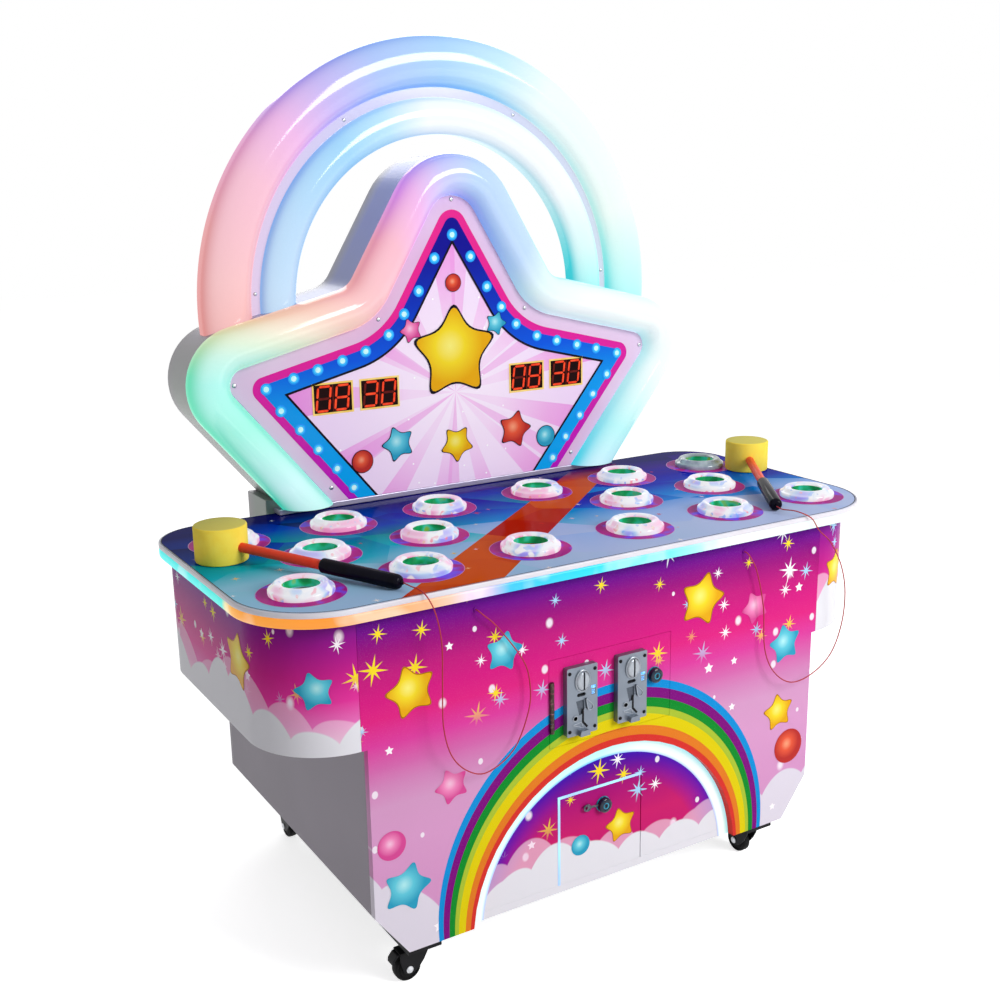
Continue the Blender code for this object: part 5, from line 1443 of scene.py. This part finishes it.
for side, x in (("left", -0.075), ("right", 0.0333)):
    face = front - 0.012
    bm = bmesh.new()
    block = rectangle(x - 0.032, x + 0.032, top - 0.127, top)
    add_prism(bm, rounded(block, 0.003, 4), "Y", face, front)
    plate = piece("acceptor_face_" + side, bm, "coin_door", die_cast)
    cutter = bmesh.new()
    add_prism(cutter, teardrop(x, 0.0006), "Y", face - 0.01, face + 0.0115)
    funnel = near(x, (-13.4, -63), (3, -62.2), (4.4, -79), (0.6, -88.5), (-6.6, -90.5))
    add_prism(cutter, funnel, "Y", face - 0.01, face + 0.0024)
    oval = slot_outline((x - 0.002, top - 0.0525), 0.006, 0.0032, 8)
    add_prism(cutter, oval, "Y", face - 0.01, face + 0.0050)
    window = rectangle(x + 0.0185, x + 0.0285, top - 0.058, top - 0.040)
    add_prism(cutter, rounded(window, 0.001, 2), "Y", face - 0.01, face + 0.0008)
    carve(plate, cutter)
    soften(plate, 0.0009, 2)
    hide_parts("coin_mech_" + side)

    bm = bmesh.new()
    add_box(bm, (x - 0.023, x + 0.023), (front, front_y + 0.052), (0.4258, 0.5178))
    piece("acceptor_body_" + side, bm, "coin_door", black_abs_and_slot_shade, 0.0015)

    bm = bmesh.new()
    middle = top - 0.0265
    profile = [(0.0158, 0.0), (0.0158, 0.0022), (0.0150, 0.0030), (0.0143, 0.0030),
        (0.0138, 0.0020), (0.0133, 0.0034), (0.0124, 0.0050), (0.0108, 0.0058), (0.0085, 0.0061),
        (0.001, 0.0062)]
    add_turned(bm, [(r, -h) for r, h in profile], (x, face, middle), "Y", 48)
    for vert in bm.verts:
        vert.co.z += 0.3 * (vert.co.z - middle)
    dial = piece("acceptor_dial_" + side, bm, "coin_door", bright_zinc)
    slot_cut = bmesh.new()
    add_box(slot_cut, (x - 0.0017, x + 0.0017), (face - 0.02, face - 0.001),
        (top - 0.0430, top - 0.0100))
    carve(dial, slot_cut)
    dial.data.set_sharp_from_angle(angle=math.radians(35))

    # Painted shade: black sheets on the floors of the slots and a black slit stand for the dark
    # inside these openings.
    bm = bmesh.new()
    add_box(bm, (x - 0.0013, x + 0.0013), (face - 0.0012, face - 0.0009),
        (top - 0.0427, top - 0.0103))
    for u0, u1, w0, w1, depth in ((x - 0.0108, x + 0.0068, top - 0.0556, top - 0.0494, 0.0049),
                                  (x + 0.0053, x + 0.0207, top - 0.0838, top - 0.0602, 0.0112)):
        add_box(bm, (u0, u1), (face + depth - 0.0004, face + depth), (w0, w1))
    add_prism(bm, near(x, (-0.8, -105), (-0.4, -80), (3, -80), (3.3, -103.5), (12, -114),
        (8.8, -116.5)), "Y", face - 0.0003, face + 0.0008)
    piece("acceptor_slot_shade_" + side, bm, "coin_door", black_abs_and_slot_shade)
    # Painted shade: the funnel's floor is a darker zinc, as shade in the recess.
    bm = bmesh.new()
    add_prism(bm, funnel, "Y", face + 0.0021, face + 0.0026)
    piece("acceptor_funnel_" + side, bm, "coin_door", blasted_zinc_in_shade)

    bm = bmesh.new()
    add_box(bm, (x + 0.0188, x + 0.0282), (face + 0.0002, face + 0.0006),
        (top - 0.0455, top - 0.0403))
    for k in range(3):
        add_box(bm, (x + 0.0200, x + 0.0262), (face + 0.0002, face + 0.0006),
            (top - 0.0500 - 0.003 * k, top - 0.0484 - 0.003 * k))
    piece("acceptor_lamp_" + side, bm, "coin_door", lamp_blue)

    bm = bmesh.new()
    add_prism(bm, rounded(near(x, (-11, -127), (11, -127), (9, -117.2), (-9, -117.2)),
                          0.002, 3), "Y", face - 0.010, face + 0.0003)
    piece("acceptor_foot_" + side, bm, "coin_door", die_cast, 0.0005)
    bm = bmesh.new()
    corners = [Vector(point) for point in near(x, (-20, -106), (-3, -103.5), (2, -115.5))]
    for a, b in zip(corners, corners[1:] + corners[:1]):
        side_on = Vector((a.y - b.y, b.x - a.x)).normalized() * 0.0005
        add_prism(bm, [tuple(a - side_on), tuple(b - side_on), tuple(b + side_on),
            tuple(a + side_on)], "Y", face - 0.0010, face + 0.0003)
    add_turned(bm, [(0.0052, 0.0), (0.0052, -0.0012), (0.0041, -0.0012), (0.0041, 0.0004)],
        (x - 0.0150, face, top - 0.0945), "Y", 24)
    piece("acceptor_ribs_" + side, bm, "coin_door", bright_zinc)

    bm = bmesh.new()
    for u in (-0.0265, 0.0265):
        for w in (-0.0095, -0.1175):
            add_screw(bm, x + u, face, top + w, 0.0034, -1)
    piece("acceptor_screws_" + side, bm, "coin_door", black_abs_and_slot_shade)

    low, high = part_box("reject_button_" + side)
    bm = bmesh.new()
    add_prism(bm, teardrop(x, 0.0), "Y", low.y + 0.0012, high.y - 0.0036)
    lever = piece("return_lever_" + side, bm, "reject_button_" + side, die_cast, 0.0004)
    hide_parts("reject_button_" + side)
    bm = bmesh.new()
    foot = low.y + 0.0014
    section = ((0.0, foot), (0.0, low.y), (-0.0009, low.y), (-0.0009, foot))
    add_lanes(bm, [[(u, y, w) for u, w in teardrop(x, grow)] for grow, y in section])
    piece("return_lever_rim_" + side, bm, "reject_button_" + side, bright_zinc)
print("coin acceptors", 2)

# %% [markdown]
# ## Door hinge, locks and key
# The coin door hangs on a steel barrel hinge, rolled from strip and left unpainted. Each door has a
# cam lock with a dark enamelled cap; rings round its rim and keyway carry painted blue light.
# The cash door's key hangs from its lock.

# %% Door hinge, locks and key
hinge_steel = start("oiled hinge steel", Metallic=0.7, Roughness=0.36)
into(add("ValToRGB", lumps(7, 3), stops=[(0.3, "#2c211e"), (0.55, "#4a3a34"), (0.75, "#6c5c54")]))
bm = bmesh.new()
knuckles = 5
low_z, length = 0.4200, 0.094
for k in range(knuckles):
    a, b = (low_z + length * step / knuckles for step in (k, k + 1))
    add_turned(bm, [(0.0038, a), (0.0042, a + 0.0005), (0.0042, b - 0.0005), (0.0038, b)],
        (-0.1322, front_y - 0.003, 0), "Z", 24)
piece("coin_hinge_barrel", bm, "coin_door", hinge_steel)

enamel = start("dark blue enamel on zinc", Roughness=0.12, IOR=1.4)
into(mottled(6, "#0b1024", "#142840"))
key_steel = start("worn key steel", Metallic=0.8, Roughness=0.35)
into(add("ValToRGB", lumps(5, 3), stops=[(0.3, "#34343c"), (0.6, "#5a5c66"), (0.75, "#8c9098")]))
# Painted light: a blue glow on the lock's rings.
lock_rim_painted_light = printed("blue lit rim of a lock", "#1f6f8f", "#3a9fb8", 5, 0.1)
cash_lock = (-0.0105, 0.2437)
locks = (("coin_lock", 0.090, 0.479, front_y, 0.015, 0.045, True),
         ("cash_lock", *cash_lock, recess_y, 0.012, 0.046, False))
for name, x, z, face, thickness, cam, hangs in locks:
    bm = bmesh.new()
    profile = [(0.0138, -0.0004), (0.0138, -0.0085), (0.0132, -0.0104), (0.0116, -0.0116),
        (0.0084, -0.0120), (0.0080, -0.0112), (0.0002, -0.0110)]
    add_turned(bm, profile, (x, face, z), "Y", 40)
    add_turned(bm, [(0.0090, -0.0006), (0.0090, thickness + 0.0023)], (x, face, z), "Y", 28)
    head = piece(name + "_head", bm, name, enamel)
    keyway = bmesh.new()
    add_box(keyway, (x - 0.0009, x + 0.0009), (face - 0.02, face - 0.006), (z - 0.0038, z + 0.0030))
    carve(head, keyway)
    head.data.set_sharp_from_angle(angle=math.radians(35))
    bm = bmesh.new()
    add_turned(bm, [(0.0139, -0.0022), (0.0151, -0.0022), (0.0151, -0.0004), (0.0139, -0.0004),
        (0.0139, -0.0022)], (x, face, z), "Y", 40)
    add_turned(bm, [(0.0062, -0.0108), (0.0062, -0.0114), (0.0044, -0.0114), (0.0044, -0.0108),
        (0.0062, -0.0108)], (x, face, z), "Y", 32)
    piece(name + "_rings", bm, name, lock_rim_painted_light)
    bm = bmesh.new()
    depths = (face + thickness + 0.0003, face + thickness + 0.0023)
    if hangs:
        add_box(bm, (x - 0.007, x + 0.007), depths, (z - cam, z + 0.007))
    else:
        add_box(bm, (x - 0.007, x + cam), depths, (z - 0.007, z + 0.007))
    piece(name + "_cam", bm, name, zinc, 0.0005)
    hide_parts(name)

(x, z), face = cash_lock, recess_y - 0.0060
bm = bmesh.new()
bow = rounded([(x - 0.046, z - 0.0005), (x - 0.034, z - 0.0040), (x - 0.028, z + 0.004),
    (x - 0.034, z + 0.012), (x - 0.046, z + 0.010)], 0.005, 4)
add_prism(bm, bow, "Y", face, face + 0.0018)
add_prism(bm, [(x - 0.030, z + 0.0022), (x - 0.0130, z + 0.0010), (x - 0.0130, z + 0.0046),
    (x - 0.030, z + 0.0062)], "Y", face, face + 0.0018)
key = piece("cash_lock_key", bm, "cash_lock", key_steel)
ring_cut = bmesh.new()
add_prism(ring_cut, arc((x - 0.040, z + 0.0045), 0.0028, 0, 340, 17), "Y", face - 0.01, face + 0.01)
carve(key, ring_cut)
soften(key, 0.0003)
print("locks", len(locks))

# %% [markdown]
# ## Casters
# A furniture caster has a stamped plate, a raceway under it, a bent fork, and a moulded wheel on a
# bolt. The fork's cheeks are cut from one side view, so that they taper to the axle, and a brake
# pedal hangs between them over the wheel.

# %% Casters
places = [(end + side, sign * 0.38, y) for end, y in (("front_", -0.2675), ("rear_", 0.2925))
          for side, sign in (("left", -1), ("right", 1))]
for corner, x, y in places:
    trail = Vector((-1, 0, 0)) if corner == "front_left" else Vector((0, 1, 0))
    across = Vector((-trail.y, trail.x, 0))
    axis = "Y" if corner == "front_left" else "X"
    swivel, wheel_body = "caster_" + corner, "caster_" + corner + "_wheel"
    place = Vector((x, y, 0))
    axle = place + trail * 0.018 + Vector((0, 0, 0.025))
    top = 0.0707
    bm = bmesh.new()
    add_prism(bm, rounded(rectangle(x - 0.030, x + 0.030, y - 0.030, y + 0.030), 0.006, 4),
              "Z", top - 0.003, top)
    add_turned(bm, [(0.0215, top - 0.0030), (0.0225, top - 0.0050), (0.0225, top - 0.0085),
        (0.0195, top - 0.0115), (0.0140, top - 0.0120)], (x, y, 0), "Z", 36)
    leg = [(-0.021, 0.0585), (-0.0195, 0.0520), (-0.0110, 0.0360), (-0.0010, 0.0235),
        (0.0080, 0.0180), (0.018, 0.0160), (0.0275, 0.0190), (0.0345, 0.040), (0.0355, 0.0585)]
    pedal = [(0.0350, 0.0585), (0.0400, 0.0580), (0.0480, 0.0480), (0.0490, 0.0400),
        (0.0462, 0.0398), (0.0448, 0.0462), (0.0385, 0.0535), (0.0350, 0.0540)]
    for side_view, inner, outer in ((leg, 0.011, 0.0135), (leg, -0.0135, -0.011),
            (pedal, -0.0105, 0.0105)):
        add_slab(bm, *([place + trail * a + across * off + Vector((0, 0, h)) for a, h in side_view]
                       for off in (inner, outer)))
    web = [place + trail * a + across * b for a, b in rectangle(-0.021, 0.0355, -0.0135, 0.0135)]
    add_prism(bm, [(c.x, c.y) for c in web], "Z", 0.0580, 0.0605)
    fork = piece(swivel + "_fork_steel", bm, swivel, black_steel, 0.0008)
    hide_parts(swivel + "_fork")
    bm = bmesh.new()
    for s in (-1, 1):
        add_turned(bm, [(0.0065, s * 0.0134), (0.0065, s * 0.0148), (0.0050, s * 0.0155),
            (0.001, s * 0.0155)], axle, axis, 20)
    add_turned(bm, [(0.0039, -0.0135), (0.0039, 0.0135)], axle, axis, 16)
    piece(swivel + "_axle_bolt", bm, swivel, zinc)
    bm = bmesh.new()
    half = [(0.0052, 0.0085), (0.0160, 0.0085), (0.0170, 0.0072), (0.0195, 0.0072),
        (0.0205, 0.0088), (0.0225, 0.0090), (0.0242, 0.0076), (0.0249, 0.0050)]
    tyre = [(r, -h) for r, h in half] + [(0.0250, 0.0)] + half[::-1] + [(0.0052, -0.0085)]
    add_turned(bm, tyre, axle, axis, 48)
    wheel = piece(wheel_body + "_moulded", bm, wheel_body, rubber)
    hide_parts(wheel_body)
    bolts = bmesh.new()
    bolt = [(0.0045, top - 0.0030), (0.0045, top - 0.0055), (0.001, top - 0.0058)]
    for a in (-0.021, 0.021):
        for b in (-0.021, 0.021):
            add_turned(bolts, bolt, (x + a, y + b, 0), "Z", 6)
    piece(swivel + "_plate_bolts", bolts, swivel, zinc)
print("casters", 4)

# %% [markdown]
# ## Plain stars on the print
# A few larger stars are part of the print. They are soft five-pointed shapes with a paler middle,
# laid on the boards as thin stickers, away from every door's seam.

# %% Plain stars on the print
def star_print(name, pale, middle, deep):
    """A motif's ink: pale in its middle and deeper to its edge, in the motif's own flat plane."""
    made = start(name, Roughness=0.24, IOR=1.14)
    place = add("VectorMath ADD", add("TexCoord")["UV"], (0.12, -0.16, 0))
    reach = add("VectorMath LENGTH", place)
    into(add("ValToRGB", reach, stops=[(0.0, pale), (0.38, middle), (0.85, deep)]))
    relief(45, 0.08, 1, strength=0.3)
    return made


inks = {"gold": star_print("printed gold motif", "#f8ee7e", "#f3d92c", "#e6a916"),
        "aqua": star_print("printed aqua motif", "#b5eef2", "#62c9dc", "#2d9cbf"),
        "rose": star_print("printed rose motif", "#f8c6e0", "#ee86bb", "#d64a94"),
        "coral": star_print("printed coral motif", "#f6a27c", "#e4583c", "#b9302c"),
        "edge": star_print("printed motif outline", "#c98f1a", "#c2820f", "#a9680c")}


def add_motif(bm, wall, centre, outline, lift):
    """A flat motif laid on a wall; wall turns a place along and up into a point and its facing."""
    uv = bm.loops.layers.uv.verify()
    flat, rings = {}, []
    size = max(math.hypot(u, w) for u, w in outline)
    for share in (1.0, 0.75, 0.5, 0.25):
        ring = []
        for u, w in outline:
            spot, facing = wall(centre[0] + u * share, centre[1] + w * share)
            ring.append(bm.verts.new(Vector(spot) + Vector(facing) * lift))
            flat[ring[-1]] = (u * share / size, w * share / size)
        rings.append(ring)
    faces = [bm.faces.new(rings[-1])]
    for here, there in zip(rings, rings[1:]):
        for i in range(len(here)):
            j = (i + 1) % len(here)
            faces.append(bm.faces.new((here[i], here[j], there[j], there[i])))
    for face in faces:
        for loop in face.loops:
            loop[uv].uv = flat[loop.vert]


def motif_outline(radius, tilt):
    """A soft star, or a plain disc for a ball, which has no tilt."""
    if tilt is None:
        return arc((0, 0), radius, 0, 350, 35)
    return rounded(pointed_star(radius, 0.55, 5, 90 + tilt), radius * 0.22, 4)


def flat_wall(y):
    """A wall that faces the front, at a depth."""
    return lambda u, w: ((u, y, w), (0, -1, 0))


def skirt_wall(side):
    """The skirt's wall from its front seam, along its face and round its front corner."""
    def wall(u, w):
        centre_x, centre_y = front_half + seam, front_y + skirt_radius
        quarter = skirt_radius * math.pi / 2
        if u < quarter:
            angle = math.radians(-90) + u / skirt_radius
            facing = (math.cos(angle), math.sin(angle))
            spot = (centre_x + skirt_radius * facing[0], centre_y + skirt_radius * facing[1])
        else:
            spot, facing = (skirt_half, centre_y + u - quarter), (1, 0)
        return (side * spot[0], spot[1], w), (side * facing[0], facing[1], 0)
    return wall


recess_wall, panel_wall = flat_wall(recess_y), flat_wall(panel_y - 0.0008)
motifs = {
    flat_wall(front_y): [
        ("gold", -0.400, 0.560, 0.048, 14), ("aqua", -0.225, 0.590, 0.040, -12),
        ("rose", -0.330, 0.375, 0.036, 20), ("gold", 0.200, 0.600, 0.054, -16),
        ("aqua", 0.410, 0.470, 0.044, 10), ("rose", 0.330, 0.560, 0.036, 24),
        ("coral", 0.430, 0.250, 0.036, None), ("gold", 0.400, 0.330, 0.040, 8),
        ("aqua", -0.420, 0.215, 0.050, -18), ("rose", -0.445, 0.300, 0.026, None)],
    skirt_wall(-1): [("gold", 0.240, 0.610, 0.052, 12), ("aqua", 0.070, 0.590, 0.036, -14)],
    skirt_wall(1): [("gold", 0.060, 0.595, 0.042, -10), ("rose", 0.250, 0.590, 0.044, 14)],
    recess_wall: [("gold", 0.030, 0.190, 0.036, 10), ("aqua", -0.060, 0.175, 0.020, None)],
    panel_wall: [
        ("gold", 0.0, 1.010, 0.100, 0), ("aqua", -0.135, 0.838, 0.038, 18),
        ("coral", 0.140, 0.836, 0.042, -15), ("coral", -0.215, 0.812, 0.022, None),
        ("aqua", 0.218, 0.812, 0.022, None), ("gold", 0.0, 0.822, 0.040, 36),
        ("rose", -0.098, 1.062, 0.026, 20), ("aqua", 0.098, 1.062, 0.026, -20),
        ("coral", 0.0, 1.150, 0.017, None)]}
rows = [(wall, *row) for wall in motifs for row in motifs[wall]]
for number, (wall, ink, u, w, radius, tilt) in enumerate(rows):
    body = "cash_door" if wall is recess_wall else "cabinet"
    slot = "star_print" if wall is panel_wall else "printed_board"
    edge_ink = black_print if wall is panel_wall else inks["edge"] if ink == "gold" else None
    for part, size, finish, lift in (("edge", 1.07, edge_ink, 0.0003),
            ("motif", 1.0, inks[ink], 0.0005)):
        if finish:
            bm = bmesh.new()
            add_motif(bm, wall, (u, w), motif_outline(radius * size, tilt), lift)
            piece("print_%s_%02d" % (part, number), bm, body, finish)
print("motifs", len(rows))

# %% [markdown]
# ## Floor and light
# A product picture has a white ground and soft light from large lamps. The floor keeps the object's
# shadow, and shows white to the camera and to reflections through Light Path.

# %% Floor and light
def seen_share():
    """One where the camera sees a ground, straight or in a gloss, and else nothing."""
    path = add("LightPath")
    seen = add("MAXIMUM", path["Is Camera Ray"], path["Is Glossy Ray"])
    return add("MAXIMUM", seen, path["Is Transmission Ray"])


white = (1, 1, 1, 1)
ground_paper = start("white studio paper", Roughness=0.9, Specular_IOR_Level=0.0,
    Emission_Color=white)
into(mottled(400, "#f2f2f2", "#f5f5f5", detail=1))
into(add("MULTIPLY", seen_share(), 0.71), "Emission Strength")
bm = bmesh.new()
bmesh.ops.create_grid(bm, x_segments=1, y_segments=1, size=14)
mesh = bpy.data.meshes.new("studio_floor")
bm.to_mesh(mesh)
bm.free()
mesh.materials.append(ground_paper)
floor = placed("studio_floor", mesh)

world = bpy.data.worlds.new("studio")
bpy.context.scene.world = world
world.use_nodes = True
tree = world.node_tree
soft, bright = (add("Background", Color=white, Strength=power) for power in (0.32, 1.0))
link(add("MixShader", seen_share(), soft, bright), tree.nodes["World Output"].inputs["Surface"])


def lamp(name, place, aim, size, watts):
    """A square soft lamp that looks at a point."""
    light = bpy.data.lights.new(name, "AREA")
    light.size, light.energy = size, watts
    made = placed(name, light)
    made.location = place
    made.rotation_euler = (Vector(aim) - Vector(place)).to_track_quat("-Z", "Y").to_euler()


lamp("key", (1.6, -3.4, 2.6), (0, 0, 0.7), 1.8, 130)
lamp("fill", (-2.8, -2.2, 2.2), (0, 0, 0.7), 2.4, 3)
lamp("rim", (0.8, 2.8, 2.8), (0, 0, 1.0), 2.0, 30)
bpy.context.scene.view_settings.view_transform = "Standard"
print("lamps", 3)
